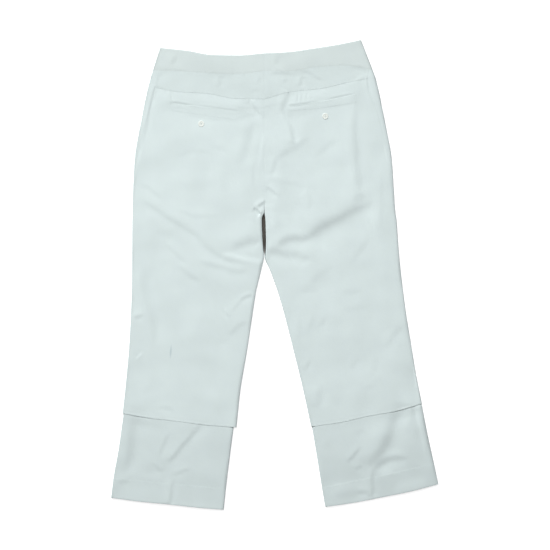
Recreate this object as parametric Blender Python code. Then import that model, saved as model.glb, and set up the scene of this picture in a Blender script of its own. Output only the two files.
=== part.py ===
"""Capri trousers laid flat with the back side up, each cut panel as its own cloth wall.

Tables are in millimetres, meshes in metres. +X runs across the garment, +Y points to
the waist and +Z up. The origin is on the resting face, under the middle of the
outline. Each side is a flattened tube: its section runs along the resting face, rolls
over at the folded edges and comes back over the top. A panel is one stretch of it.
"""
import math
from collections import namedtuple

import bmesh
import bpy
import numpy as np

# ---------------------------------------------------------------- driving sizes, mm
MM = 0.001
GAP = 0.3                     # between neighbouring pieces
HALF_GAP = GAP / 2
CLOTH = 1.2                   # one layer of twill
YOKE_CLOTH = 1.4
BAND_CLOTH = 2.0              # the waistband is doubled
CENTRE_X = -19.4              # centre back and centre front seam
QUARTERS = (0.0, 0.25, 0.5, 0.75, 1.0)
EDGE_Z = 2.2                  # height of the folded edge's nose
ROLL = 6.0                    # how far in from the nose the roll reaches
YOKE_LAP = 6.0                # yoke over the leg panel
KNEE_LAP = 12.0               # upper leg panel over the lower one
LAP_INSET = 7.0               # the tucked strip is this much narrower at each side
FORK_TOP_Y = 128.0            # the inner edges begin to part here
FORK_LENGTH = 30.0
HEM_RAISE = 0.6               # the turned hem is thicker
WELT_RISE = GAP + CLOTH
WELT_COLUMNS = 13
WELT_LINES = 4

BUTTON_RADIUS = 5.7
BUTTON_THICKNESS = 2.4
BUTTON_RECESS = 0.7
BUTTON_RIM = 1.3
BUTTON_HOLE_RADIUS = 0.65
BUTTON_HOLE_OFFSET = 1.35
BUTTON_SIDES = 24
HOLE_SIDES = 8

# ---------------------------------------------------------------- section tables, mm
# y is given at the outer edge, the quarters and the inner edge. wrap is how far the
# front panel comes over the edge on to the top, below the waistband, whose own seam is
# on the edge. height is that of the top face.
Row = namedtuple("Row", "name y x_out x_in front_in wrap height")


def straight(y_out, y_in):
    """Heights of an unbent row at the outer edge, the quarters and the inner edge."""
    return tuple(y_out + (y_in - y_out) * quarter / 4 for quarter in range(5))


LEFT_UPPER = (
    Row("waist_top", (419.8, 414.7, 406.8, 405.9, 409.8), -212.0, CENTRE_X, CENTRE_X, 7.0, 4.6),
    Row("waist_seam", (378.0, 375.8, 372.8, 370.6, 376.5), -225.4, CENTRE_X, CENTRE_X, 7.0, 4.9),
    Row("yoke_seam", (349.3, 338.0, 334.8, 325.5, 324.3), -233.4, CENTRE_X, CENTRE_X, 12.0, 5.2),
    Row("pocket", straight(290.0, 290.0), -246.0, CENTRE_X, CENTRE_X, 11.0, 4.7),
    Row("seat", straight(212.0, 212.0), -259.0, CENTRE_X, CENTRE_X, 5.0, 4.6),
    Row("hip", straight(150.0, 150.0), -262.1, CENTRE_X, CENTRE_X, 0.5, 4.6),
    Row("crotch", straight(122.0, 122.0), -262.8, -19.6, CENTRE_X, 0.0, 4.8),
    Row("fork", straight(104.0, 104.0), -263.2, -25.2, CENTRE_X, 0.0, 4.9),
    Row("rise", straight(60.0, 60.0), -263.6, -22.4, CENTRE_X, 0.0, 4.8),
    Row("join", straight(34.0, 34.0), -263.8, -20.2, -19.9, 0.0, 4.6),
    Row("split", straight(8.0, 8.0), -263.9, -25.3, -25.3, 0.0, 4.5),
    Row("thigh", straight(-29.0, -30.0), -264.4, -34.3, -34.3, 0.0, 4.5),
    Row("knee", straight(-70.0, -75.0), -265.9, -41.3, -41.3, 0.0, 4.5),
    Row("shin", straight(-130.0, -140.0), -269.0, -51.2, -51.2, 0.0, 4.5),
    Row("calf", straight(-197.0, -214.0), -274.9, -63.5, -63.5, 0.0, 4.7),
    Row("lap", (-256.0, -265.2, -271.3, -278.0, -282.0), -281.2, -70.8, -70.8, 0.0, 5.0),
)
LEFT_LOWER = (
    Row("lap", (-256.5, -265.3, -271.3, -277.8, -281.9), -279.4, -75.9, -75.9, 0.0, 5.0),
    Row("ankle", straight(-322.0, -338.0), -288.6, -83.3, -83.3, 0.0, 4.4),
    Row("hem_seam", (-375.0, -380.5, -385.5, -390.0, -395.0), -298.0, -90.2, -90.2, 0.0, 4.4),
    Row("hem_edge", (-412.5, -419.4, -424.5, -430.4, -434.6), -302.6, -94.4, -94.4, 0.0, 4.4),
)
RIGHT_UPPER = (
    Row("waist_top", (434.4, 425.3, 418.4, 412.0, 409.8), 159.5, CENTRE_X, CENTRE_X, 7.0, 4.6),
    Row("waist_seam", (379.0, 386.5, 384.0, 376.6, 376.5), 181.0, CENTRE_X, CENTRE_X, 7.0, 4.9),
    Row("yoke_seam", (365.0, 355.0, 343.5, 338.0, 324.3), 186.2, CENTRE_X, CENTRE_X, 15.0, 5.2),
    Row("pocket", straight(290.0, 290.0), 202.6, CENTRE_X, CENTRE_X, 10.0, 4.7),
    Row("seat", straight(212.0, 212.0), 216.5, CENTRE_X, CENTRE_X, 6.0, 4.6),
    Row("hip", straight(150.0, 150.0), 220.6, CENTRE_X, CENTRE_X, 1.5, 4.6),
    Row("crotch", straight(122.0, 122.0), 223.0, -19.2, CENTRE_X, 0.0, 4.8),
    Row("fork", straight(104.0, 104.0), 224.9, -14.0, CENTRE_X, 0.0, 4.9),
    Row("rise", straight(60.0, 60.0), 228.0, -14.8, CENTRE_X, 0.0, 4.8),
    Row("join", straight(34.0, 34.0), 230.2, -17.0, -18.9, 0.0, 4.6),
    Row("split", straight(8.0, 8.0), 232.8, -8.5, -8.5, 0.0, 4.5),
    Row("thigh", straight(-28.0, -30.0), 237.0, 5.2, 5.2, 0.0, 4.5),
    Row("knee", straight(-66.0, -75.0), 242.0, 18.3, 18.3, 0.0, 4.5),
    Row("shin", straight(-122.0, -140.0), 251.0, 34.8, 34.8, 0.0, 4.5),
    Row("calf", straight(-186.0, -214.0), 261.6, 52.9, 52.9, 0.0, 4.7),
    Row("lap", (-238.0, -252.6, -262.0, -273.5, -280.5), 272.0, 67.2, 67.2, 0.0, 5.0),
)
RIGHT_LOWER = (
    Row("lap", (-238.4, -252.8, -262.1, -273.5, -280.5), 271.4, 68.8, 68.8, 0.0, 5.0),
    Row("ankle", straight(-300.0, -338.0), 283.6, 78.4, 78.4, 0.0, 4.4),
    Row("hem_seam", (-348.8, -360.2, -372.0, -382.2, -393.0), 294.4, 87.2, 87.2, 0.0, 4.4),
    Row("hem_edge", (-387.0, -400.7, -411.3, -421.4, -429.0), 302.6, 93.4, 93.4, 0.0, 4.4),
)

# The largest folds: a soft trough (negative rise) or ridge along a curve through
# start, middle and end, with the half-width of its slope.
Fold = namedtuple("Fold", "name start middle end width rise")
FOLDS = (
    Fold("right_thigh", (184.0, 130.0), (126.0, 106.0), (62.0, 66.0), 12.0, -1.7),
    Fold("right_thigh_lip", (172.0, 110.0), (118.0, 84.0), (66.0, 46.0), 13.0, 0.9),
    Fold("right_inner", (-8.0, 46.0), (24.0, 37.0), (64.0, 33.0), 10.0, -1.1),
    Fold("right_seat", (-8.0, 172.0), (30.0, 166.0), (64.0, 144.0), 10.0, -0.9),
    Fold("right_seat_rise", (-4.0, 186.0), (20.0, 226.0), (70.0, 257.0), 13.0, -0.9),
    Fold("right_hip", (150.0, 300.0), (148.0, 230.0), (156.0, 150.0), 14.0, -0.7),
    Fold("right_knee", (112.0, 20.0), (76.0, -18.0), (50.0, -32.0), 13.0, -0.9),
    Fold("left_thigh", (-241.0, 142.0), (-190.0, 92.0), (-128.0, 56.0), 12.0, -1.5),
    Fold("left_thigh_end", (-132.0, 56.0), (-92.0, 37.0), (-42.0, 29.0), 11.0, -1.4),
    Fold("left_thigh_lip", (-196.0, 78.0), (-146.0, 40.0), (-100.0, 22.0), 13.0, 0.8),
    Fold("left_under", (-142.0, 26.0), (-98.0, 13.0), (-52.0, 7.0), 9.0, -0.9),
    Fold("left_knee", (-50.0, -40.0), (-70.0, -58.0), (-92.0, -80.0), 12.0, -1.0),
    Fold("left_outer", (-246.0, 0.0), (-238.0, -52.0), (-222.0, -98.0), 13.0, -0.7),
    Fold("left_ankle", (-138.0, -282.0), (-162.0, -306.0), (-198.0, -342.0), 11.0, -1.0),
    Fold("left_ankle_side", (-188.0, -293.0), (-204.0, -316.0), (-214.0, -338.0), 9.0, -0.7),
    Fold("right_ankle", (222.0, -262.0), (212.0, -290.0), (178.0, -344.0), 12.0, -1.1),
    Fold("right_ankle_side", (246.0, -338.0), (216.0, -338.0), (192.0, -354.0), 10.0, -0.9),
)
FOLD_SAMPLES = 25
FOLD_END = 0.12               # of its curve, where a fold's strength is a third
FOLD_EDGE = 14.0              # folds die away this far inside the edges
NOSE_SAMPLES = 33
BELOW_YOKE = 22.0             # first shared mesh row below the yoke's seam
SHARP = math.radians(40)

# Each welt follows its mouth, and is turned down by its depth.
Welt = namedtuple("Welt", "outer middle inner depth_outer depth_inner button")
WELTS = (
    Welt((-190.5, 317.8), (-130.0, 310.0), (-67.5, 302.0), 15.0, 16.5, (-135.9, 279.0)),
    Welt((150.8, 334.0), (88.0, 321.0), (25.5, 311.4), 16.5, 9.5, (93.5, 293.0)),
)

Side = namedtuple("Side", "name inward upper lower")
SIDES = (
    Side("left", 1.0, LEFT_UPPER, LEFT_LOWER),
    Side("right", -1.0, RIGHT_UPPER, RIGHT_LOWER),
)

# A cut is one mesh row: a station down the side, moved along Y by dy. drop lowers both
# faces, raised lifts the outer one alone, inset narrows it, and roll_out and roll_in
# say how far each edge is rolled over, from 0, flat, to 1.
Cut = namedtuple("Cut", "station dy drop raised inset roll_out roll_in")

MATERIALS = {
    "twill": ((0.66, 0.75, 0.745, 1.0), 0.72),
    "twill_front": ((0.62, 0.71, 0.705, 1.0), 0.72),
    "waistband_twill": ((0.68, 0.76, 0.755, 1.0), 0.70),
    "button": ((0.78, 0.80, 0.77, 1.0), 0.35),
}


# ---------------------------------------------------------------- curves and sections
def smooth(knots, values, at):
    """Values of a smooth curve through the knots, which never overshoots them."""
    knots = np.asarray(knots, dtype=float)
    values = np.asarray(values, dtype=float)
    steps = np.diff(knots)
    slopes = np.diff(values) / steps
    tangents = np.empty_like(values)
    tangents[0] = slopes[0]
    tangents[-1] = slopes[-1]
    before, after = slopes[:-1], slopes[1:]
    total = before + after
    safe = np.where(total == 0.0, 1.0, total)
    tangents[1:-1] = np.where(before * after > 0.0, 2 * before * after / safe, 0.0)
    index = np.clip(np.searchsorted(knots, at, side="right") - 1, 0, len(steps) - 1)
    part = (at - knots[index]) / steps[index]
    step = steps[index]
    return (
        values[index] * (1 + 2 * part) * (1 - part) ** 2
        + tangents[index] * step * part * (1 - part) ** 2
        + values[index + 1] * part ** 2 * (3 - 2 * part)
        + tangents[index + 1] * step * part ** 2 * (part - 1)
    )


def stations(rows):
    """Distance of each row down the middle of the side."""
    middles = [row.y[2] for row in rows]
    return np.concatenate(([0.0], np.cumsum(-np.diff(middles))))


def station_of(rows, name):
    """Station of the row with this name."""
    return float(stations(rows)[[row.name for row in rows].index(name)])


def row_at(rows, station):
    """The row between the table's rows at this station."""
    knots = stations(rows)

    def value(column):
        return float(smooth(knots, column, station))

    return Row(
        name="between",
        y=tuple(value([row.y[k] for row in rows]) for k in range(5)),
        x_out=value([row.x_out for row in rows]),
        x_in=value([row.x_in for row in rows]),
        front_in=value([row.front_in for row in rows]),
        wrap=value([row.wrap for row in rows]),
        height=value([row.height for row in rows]),
    )


def nose_angles():
    """Angle round the rolled nose against the length along it."""
    angles = np.linspace(0.0, math.pi / 2, NOSE_SAMPLES)
    across = ROLL * np.cos(angles)
    up = EDGE_Z * np.sin(angles)
    lengths = np.concatenate(([0.0], np.cumsum(np.hypot(np.diff(across), np.diff(up)))))
    return lengths, angles


NOSE_LENGTHS, NOSE_ANGLES = nose_angles()
NOSE = float(NOSE_LENGTHS[-1])          # length of the roll from its nose to the flat


def along_nose(length):
    """Distance in from the nose, sine and cosine at a length along the section."""
    if length >= NOSE:
        return ROLL + length - NOSE, 1.0, 0.0
    angle = float(np.interp(length, NOSE_LENGTHS, NOSE_ANGLES))
    return ROLL * (1 - math.cos(angle)), math.sin(angle), math.cos(angle)


def fold_rise(x, y):
    """Height that the folds add at a place on the top."""
    rise = 0.0
    for fold in FOLDS:
        part = np.linspace(0.0, 1.0, FOLD_SAMPLES)
        start, middle, end = (np.array(p) for p in (fold.start, fold.middle, fold.end))
        control = 2 * middle - (start + end) / 2
        curve = (
            np.outer((1 - part) ** 2, start)
            + np.outer(2 * part * (1 - part), control)
            + np.outer(part ** 2, end)
        )
        distance = np.hypot(curve[:, 0] - x, curve[:, 1] - y)
        nearest = int(np.argmin(distance))
        along = FOLD_END + (1 - 2 * FOLD_END) * part[nearest]
        strength = math.sin(math.pi * along)
        rise += fold.rise * strength * math.exp(-((distance[nearest] / fold.width) ** 2))
    return rise


def ease(value):
    """Smooth step from 0 to 1."""
    value = min(1.0, max(0.0, value))
    return value * value * (3 - 2 * value)


def top_height(row, x, y, roll_in):
    """Height of the cloth's top face, folds included."""
    from_outer = abs(x - row.x_out)
    from_inner = abs(x - row.x_in)
    keep = ease((from_outer - row.wrap) / FOLD_EDGE)
    keep *= 1 - roll_in * (1 - ease(from_inner / FOLD_EDGE))
    return row.height + keep * fold_rise(x, y)


# ---------------------------------------------------------------- one cloth wall
Wall = namedtuple("Wall", "side rows cloth upper wraps", defaults=(True,))

# A column of the mesh: at a length along the section from the outer ("out") or inner
# ("in") edge, or on the flat between them, at this part of the way from that length.
Column = namedtuple("Column", "edge length part")


def section_point(wall, cut, row, column):
    """Outer and inner point of the wall where this cut and this column cross."""
    x_in = row.x_in if wall.upper else row.front_in
    x_out = row.x_out + wall.side.inward * cut.inset
    x_in = x_in - wall.side.inward * (HALF_GAP + cut.inset)
    width = abs(x_in - x_out)
    roll = cut.roll_in if column.edge == "in" else cut.roll_out
    distance, sine, cosine = along_nose(abs(column.length))
    if column.edge == "flat":
        distance += (width - ROLL - distance) * column.part
        sine, cosine = 1.0, 0.0
    inner_distance = distance + roll * wall.cloth * cosine
    if column.edge == "in":
        distance, inner_distance = width - distance, width - inner_distance
    points = []
    on_top = wall.upper or (column.edge == "out" and column.length > 0.0)
    for place, is_outer in ((distance, True), (inner_distance, False)):
        x = x_out + wall.side.inward * place
        y = float(smooth(QUARTERS, row.y, place / width)) + cut.dy
        if on_top:
            flat = top_height(row, x, y, cut.roll_in) - cut.drop
            if is_outer:
                flat += cut.raised
                z = flat - roll * (flat - EDGE_Z) * (1 - sine)
            else:
                flat -= wall.cloth
                z = flat - roll * (flat - EDGE_Z) * (1 - sine)
                if cosine > 0.0:
                    z = max(z, EDGE_Z + HALF_GAP)
        elif is_outer:
            z = roll * EDGE_Z * (1 - sine)
        else:
            flat = wall.cloth + cut.raised
            z = min(flat + roll * (EDGE_Z - flat) * (1 - sine), EDGE_Z - HALF_GAP)
        points.append((x, y, z))
    return points


def section_columns(wall, row, flat_columns, edge_columns):
    """The mesh columns, from the outer edge to the inner."""
    if wall.upper:
        start = row.wrap + HALF_GAP
        end = start + NOSE
        sign = 1.0
    else:
        start = row.wrap - HALF_GAP
        end = -NOSE
        sign = -1.0
    columns = []
    for k in range(edge_columns):
        columns.append(Column("out", start + (end - start) * k / (edge_columns - 1), 0.0))
    for k in range(flat_columns):
        columns.append(Column("flat", end, (k + 1) / (flat_columns + 1)))
    for length in (NOSE, NOSE * 2 / 3, NOSE / 3, HALF_GAP):
        columns.append(Column("in", sign * length, 0.0))
    return columns


def build_wall(name, wall, cuts, flat_columns, edge_columns, material):
    """A closed wall of cloth through its sections, as one named object."""
    outer, inner = [], []
    for cut in cuts:
        row = row_at(wall.rows, cut.station)
        if not wall.wraps:
            row = row._replace(wrap=0.0)
        pairs = [
            section_point(wall, cut, row, column)
            for column in section_columns(wall, row, flat_columns, edge_columns)
        ]
        outer.append([pair[0] for pair in pairs])
        inner.append([pair[1] for pair in pairs])
    faces_up = wall.upper == (wall.side.inward > 0)
    return add_sheet(name, outer, inner, faces_up, material)


def add_sheet(name, outer, inner, clockwise, material):
    """Object whose mesh joins two grids of points into one closed sheet."""
    rows, columns = len(outer), len(outer[0])
    points = [p for grid in (outer, inner) for line in grid for p in line]

    def at(layer, r, c):
        return (layer * rows + r) * columns + c

    faces = []
    for r in range(rows - 1):
        for c in range(columns - 1):
            faces.append((at(0, r, c), at(0, r + 1, c), at(0, r + 1, c + 1), at(0, r, c + 1)))
            faces.append((at(1, r, c), at(1, r, c + 1), at(1, r + 1, c + 1), at(1, r + 1, c)))
    for r in range(rows - 1):
        for c, turned in ((0, False), (columns - 1, True)):
            rim = (at(0, r, c), at(1, r, c), at(1, r + 1, c), at(0, r + 1, c))
            faces.append(rim[::-1] if turned else rim)
    for c in range(columns - 1):
        for r, turned in ((0, True), (rows - 1, False)):
            rim = (at(0, r, c), at(1, r, c), at(1, r, c + 1), at(0, r, c + 1))
            faces.append(rim[::-1] if turned else rim)
    if not clockwise:
        faces = [face[::-1] for face in faces]
    mesh = bpy.data.meshes.new(name)
    mesh.from_pydata([tuple(value * MM for value in p) for p in points], [], faces)
    mesh.update()
    mesh.shade_smooth()
    mesh.set_sharp_from_angle(angle=SHARP)
    return add_object(name, mesh, material)


def add_object(name, mesh, material):
    """Object in the scene with its own material."""
    colour, roughness = MATERIALS[material]
    made = bpy.data.materials.new(name)
    made.use_nodes = True
    shader = made.node_tree.nodes["Principled BSDF"]
    shader.inputs["Base Color"].default_value = colour
    shader.inputs["Roughness"].default_value = roughness
    mesh.materials.clear()
    mesh.materials.append(made)
    item = bpy.data.objects.new(name, mesh)
    bpy.context.collection.objects.link(item)
    return item


# ---------------------------------------------------------------- panels
def plain_cut(station, dy=0.0, roll_in=0.0):
    """A cut with nothing lowered, raised or inset."""
    return Cut(station, dy, 0.0, 0.0, 0.0, 1.0, roll_in)


def inner_roll(rows, station, upper):
    """How far the inner edge is rolled over: not at all on the seat, fully on the leg."""
    y = row_at(rows, station).y[4]
    start = FORK_TOP_Y if upper else FORK_TOP_Y - 3 * FORK_LENGTH
    return ease((start - y) / FORK_LENGTH)


def spread(start, end, count):
    """Evenly spaced stations, both ends left out."""
    return [start + (end - start) * (k + 1) / (count + 1) for k in range(count)]


def seat_stations(rows):
    """Mesh rows from below the yoke to the hip, shared by the back and the front."""
    seat = station_of(rows, "yoke_seam") + BELOW_YOKE
    hip = station_of(rows, "hip")
    return [seat] + spread(seat, hip, 7) + [hip]


def leg_stations(rows):
    """Mesh rows from the hip to the lap, closest round the folds of the thigh."""
    hip = station_of(rows, "hip")
    knee = station_of(rows, "knee")
    lap = station_of(rows, "lap")
    return spread(hip, knee, 15) + [knee] + spread(knee, lap, 6)


def waistband(side):
    """Back and front band: two straight strips, one on the other."""
    top = station_of(side.upper, "waist_top")
    seam = station_of(side.upper, "waist_seam")
    middle = [plain_cut(station) for station in spread(top, seam, 2)]
    cuts = [plain_cut(top)] + middle + [plain_cut(seam, HALF_GAP)]
    for face, upper, flat in (("back", True, 14), ("front", False, 8)):
        wall = Wall(side, side.upper, BAND_CLOTH, upper, wraps=False)
        build_wall(f"waistband_{face}_{side.name}", wall, cuts, flat, 4, "waistband_twill")


def yoke(side):
    """Back yoke, lapped over the top of the leg panel."""
    top = station_of(side.upper, "waist_seam")
    seam = station_of(side.upper, "yoke_seam")
    middle = [plain_cut(station) for station in spread(top, seam, 3)]
    cuts = [plain_cut(top, -HALF_GAP)] + middle + [plain_cut(seam)]
    wall = Wall(side, side.upper, YOKE_CLOTH, True)
    build_wall(f"yoke_back_{side.name}", wall, cuts, 14, 4, "twill")


def leg_back(side):
    """Seat and leg of the back, from under the yoke to the lap below the knee."""
    rows = side.upper
    seam = station_of(rows, "yoke_seam")
    lap = station_of(rows, "lap")
    lapped = YOKE_CLOTH + GAP
    cuts = [
        Cut(seam, YOKE_LAP, lapped, 0.0, 0.0, 1.0, 0.0),
        Cut(seam, -1.0, lapped, 0.0, 0.0, 1.0, 0.0),
        Cut(seam, -7.0, lapped / 3, 0.0, 0.0, 1.0, 0.0),
    ]
    for station in seat_stations(rows) + leg_stations(rows) + [lap]:
        cuts.append(plain_cut(station, 0.0, inner_roll(rows, station, True)))
    build_wall(f"leg_back_{side.name}", Wall(side, rows, CLOTH, True), cuts, 13, 4, "twill")


def leg_front(side):
    """Front leg panel on the resting face, whose side comes over the hip."""
    rows = side.upper
    waist = station_of(rows, "waist_seam")
    seam = station_of(rows, "yoke_seam")
    lap = station_of(rows, "lap")
    cuts = [plain_cut(waist, -HALF_GAP)]
    above = spread(waist, seam, 3) + [seam]
    for station in above + seat_stations(rows) + leg_stations(rows)[1::2]:
        cuts.append(plain_cut(station, 0.0, inner_roll(rows, station, False)))
    cuts.append(plain_cut(lap, HALF_GAP, 1.0))
    build_wall(f"leg_front_{side.name}", Wall(side, rows, CLOTH, False), cuts, 8, 7, "twill_front")


def lower_back(side):
    """Lower back panel: a strip tucked under the lap, then the ankle and its hem."""
    rows = side.lower
    lap = station_of(rows, "lap")
    hem = station_of(rows, "hem_seam")
    edge = station_of(rows, "hem_edge")
    tucked = CLOTH + GAP
    cuts = [
        Cut(lap, KNEE_LAP, tucked, 0.0, LAP_INSET, 0.0, 0.0),
        Cut(lap, -0.6, tucked, 0.0, LAP_INSET, 0.0, 0.0),
        Cut(lap, -4.0, tucked * 0.8, 0.0, 0.0, 0.7, 0.7),
        Cut(lap, -9.0, tucked * 0.4, 0.0, 0.0, 1.0, 1.0),
    ]
    cuts += [plain_cut(station, 0.0, 1.0) for station in spread(lap + 8.0, hem, 6)]
    cuts += [
        plain_cut(hem, 1.0, 1.0),
        Cut(hem, -1.0, 0.0, HEM_RAISE, 0.0, 1.0, 1.0),
        Cut((hem + edge) / 2, 0.0, 0.0, HEM_RAISE, 0.0, 1.0, 1.0),
        Cut(edge, 1.2, 0.0, HEM_RAISE, 0.0, 1.0, 1.0),
        Cut(edge, 0.0, HEM_RAISE, HEM_RAISE, 0.0, 1.0, 1.0),
    ]
    build_wall(f"lower_back_{side.name}", Wall(side, rows, CLOTH, True), cuts, 12, 4, "twill")


def lower_front(side):
    """Lower front panel, edge to edge with the leg panel on the resting face."""
    rows = side.lower
    lap = station_of(rows, "lap")
    hem = station_of(rows, "hem_seam")
    edge = station_of(rows, "hem_edge")
    cuts = [
        Cut(lap, -HALF_GAP, 0.0, 0.0, 0.0, 0.0, 0.0),
        Cut(lap, -4.0, 0.0, 0.0, 0.0, 0.7, 0.7),
        Cut(lap, -9.0, 0.0, 0.0, 0.0, 1.0, 1.0),
    ]
    cuts += [plain_cut(station, 0.0, 1.0) for station in spread(lap + 8.0, hem, 3)]
    cuts += [
        plain_cut(hem, 1.0, 1.0),
        Cut(hem, -1.0, 0.0, HEM_RAISE, 0.0, 1.0, 1.0),
        Cut(edge, 0.0, 0.0, HEM_RAISE, 0.0, 1.0, 1.0),
    ]
    build_wall(f"lower_front_{side.name}", Wall(side, rows, CLOTH, False), cuts, 8, 4, "twill_front")


# ---------------------------------------------------------------- what lies on a panel
def leg_back_height(side, x, y):
    """Top face of the back leg panel at a place on the seat, where its rows are level."""
    rows = side.upper
    knots = stations(rows)
    station = float(np.interp(-y, [-row.y[2] for row in rows], knots))
    return top_height(row_at(rows, station), x, y, 0.0)


def welt_mouth(welt, part):
    """Place along the mouth of the pocket, from its outer end to its inner."""
    ends = (welt.outer, welt.middle, welt.inner)
    return tuple(float(smooth((0.0, 0.5, 1.0), [end[k] for end in ends], part)) for k in (0, 1))


def pocket_welt(side, welt):
    """Welt strip, made from the back panel's points moved out."""
    outer, inner = [], []
    for r in range(WELT_LINES):
        down = r / (WELT_LINES - 1)
        outer_line, inner_line = [], []
        for c in range(WELT_COLUMNS):
            part = c / (WELT_COLUMNS - 1)
            x, mouth = welt_mouth(welt, part)
            depth = welt.depth_outer + (welt.depth_inner - welt.depth_outer) * part
            y = mouth - down * depth
            base = leg_back_height(side, x, y)
            outer_line.append((x, y, base + WELT_RISE))
            inner_line.append((x, y, base + GAP))
        outer.append(outer_line)
        inner.append(inner_line)
    add_sheet(f"pocket_welt_{side.name}", outer, inner, side.inward > 0, "twill")


def pocket_button(side, welt):
    """Turned button with a dished face and four holes, lying on the back panel."""
    profile = (
        (0.0, 0.0),
        (BUTTON_RADIUS - 0.8, 0.0),
        (BUTTON_RADIUS, 0.8),
        (BUTTON_RADIUS, BUTTON_THICKNESS - 0.6),
        (BUTTON_RADIUS - 0.5, BUTTON_THICKNESS),
        (BUTTON_RADIUS - BUTTON_RIM, BUTTON_THICKNESS),
        (BUTTON_RADIUS - BUTTON_RIM - 0.6, BUTTON_THICKNESS - BUTTON_RECESS),
        (0.0, BUTTON_THICKNESS - BUTTON_RECESS),
    )
    shape = bmesh.new()
    ring = [shape.verts.new((radius * MM, 0.0, height * MM)) for radius, height in profile]
    edges = [shape.edges.new(pair) for pair in zip(ring, ring[1:])]
    bmesh.ops.spin(
        shape,
        geom=ring + edges,
        axis=(0.0, 0.0, 1.0),
        cent=(0.0, 0.0, 0.0),
        angle=2 * math.pi,
        steps=BUTTON_SIDES,
        use_merge=True,
    )
    bmesh.ops.remove_doubles(shape, verts=shape.verts, dist=0.00001)
    bmesh.ops.recalc_face_normals(shape, faces=shape.faces)
    name = f"button_{side.name}"
    mesh = bpy.data.meshes.new(name)
    shape.to_mesh(mesh)
    shape.free()
    mesh.shade_smooth()
    mesh.set_sharp_from_angle(angle=SHARP)
    button = add_object(name, mesh, "button")
    x, y = welt.button
    button.location = (x * MM, y * MM, (leg_back_height(side, x, y) + GAP) * MM)
    cutter = button_cutter(side)
    cutter.parent = button
    cut = button.modifiers.new("holes", "BOOLEAN")
    cut.operation = "DIFFERENCE"
    cut.solver = "EXACT"
    cut.object = cutter


def button_cutter(side):
    """Guide with the four thread holes."""
    shape = bmesh.new()
    for k in range(4):
        angle = math.pi / 4 + k * math.pi / 2
        made = bmesh.ops.create_cone(
            shape,
            cap_ends=True,
            segments=HOLE_SIDES,
            radius1=BUTTON_HOLE_RADIUS * MM,
            radius2=BUTTON_HOLE_RADIUS * MM,
            depth=4 * BUTTON_THICKNESS * MM,
        )
        reach = BUTTON_HOLE_OFFSET * MM
        offset = (reach * math.cos(angle), reach * math.sin(angle), 0.0)
        bmesh.ops.translate(shape, verts=made["verts"], vec=offset)
    mesh = bpy.data.meshes.new(f"button_holes_{side.name}")
    shape.to_mesh(mesh)
    shape.free()
    cutter = bpy.data.objects.new(mesh.name, mesh)
    cutter.hide_render = True
    cutter.display_type = "WIRE"
    bpy.context.collection.objects.link(cutter)
    return cutter


# ---------------------------------------------------------------- the garment
def main():
    for item in list(bpy.data.objects):
        bpy.data.objects.remove(item, do_unlink=True)
    for side, welt in zip(SIDES, WELTS):
        waistband(side)
        yoke(side)
        leg_back(side)
        leg_front(side)
        lower_back(side)
        lower_front(side)
        pocket_welt(side, welt)
        pocket_button(side, welt)


main()
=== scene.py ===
"""Capri trousers laid flat with the back up: cloth, folds, sewing and finish.

Tables are in millimetres and meshes in metres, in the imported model's frame: +X across
the garment, +Y to the waist, +Z up, with the surface it lies on at zero. Every cloth
piece is a thin shell on the form of the solid that it stands for.
"""

import math
from collections import namedtuple

import bmesh
import bpy
import numpy as np
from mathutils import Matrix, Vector
from mathutils.bvhtree import BVHTree


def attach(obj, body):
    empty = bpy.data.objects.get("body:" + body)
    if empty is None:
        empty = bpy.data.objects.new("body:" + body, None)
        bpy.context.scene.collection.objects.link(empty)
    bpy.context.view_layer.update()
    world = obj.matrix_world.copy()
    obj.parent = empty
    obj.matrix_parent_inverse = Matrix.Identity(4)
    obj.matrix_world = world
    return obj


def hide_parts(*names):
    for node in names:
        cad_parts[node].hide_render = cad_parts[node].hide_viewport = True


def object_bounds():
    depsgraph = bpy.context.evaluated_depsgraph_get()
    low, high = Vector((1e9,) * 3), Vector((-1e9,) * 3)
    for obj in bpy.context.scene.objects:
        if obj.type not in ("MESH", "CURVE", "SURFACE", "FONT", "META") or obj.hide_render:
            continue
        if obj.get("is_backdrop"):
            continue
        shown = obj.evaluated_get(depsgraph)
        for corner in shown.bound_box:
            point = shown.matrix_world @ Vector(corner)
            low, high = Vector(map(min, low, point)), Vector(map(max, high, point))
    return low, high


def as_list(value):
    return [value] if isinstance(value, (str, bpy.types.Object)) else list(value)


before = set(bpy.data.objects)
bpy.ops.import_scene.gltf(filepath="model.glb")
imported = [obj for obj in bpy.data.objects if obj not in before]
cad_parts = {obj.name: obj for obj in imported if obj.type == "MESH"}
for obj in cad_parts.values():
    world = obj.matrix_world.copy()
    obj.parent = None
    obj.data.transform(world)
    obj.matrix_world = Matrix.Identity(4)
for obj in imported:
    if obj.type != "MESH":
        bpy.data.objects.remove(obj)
cad_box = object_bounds()

# ---------------------------------------------------------------- sizes, mm
MM = 0.001
SEAM_GAP = 0.02               # between the edges of sewn panels
CLOTH = 0.7
LEG_CLOTH = 0.22              # a lapping panel is pressed thin
YOKE_CLOTH = 0.15
BAND_CLOTH = 1.2
CENTRE_X = -19.4              # centre back and centre front seam
QUARTERS = np.array((0.0, 0.25, 0.5, 0.75, 1.0))
EDGE_Z = 2.2                  # height of the folded edge's nose
ROLL = 6.0                    # how far in from the nose the roll reaches
SHARP_ROLL = 0.9              # the same at an edge that faces left, which is pressed sharp
YOKE_LAP = 6.0
KNEE_LAP = 12.0
LAP_INSET = 7.0
LAP_GAP = 0.1                 # between a lap and the panel under it
FORK_TOP_Y = 115.0            # the inner edges begin to part here
FORK_LENGTH = 12.0
BELOW_YOKE = 22.0
HEM_RAISE = 0.11
LAP_HEM = 9.0                 # depth of the narrow hem on the lap's edge
LAP_HEM_RAISE = 0.13
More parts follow.
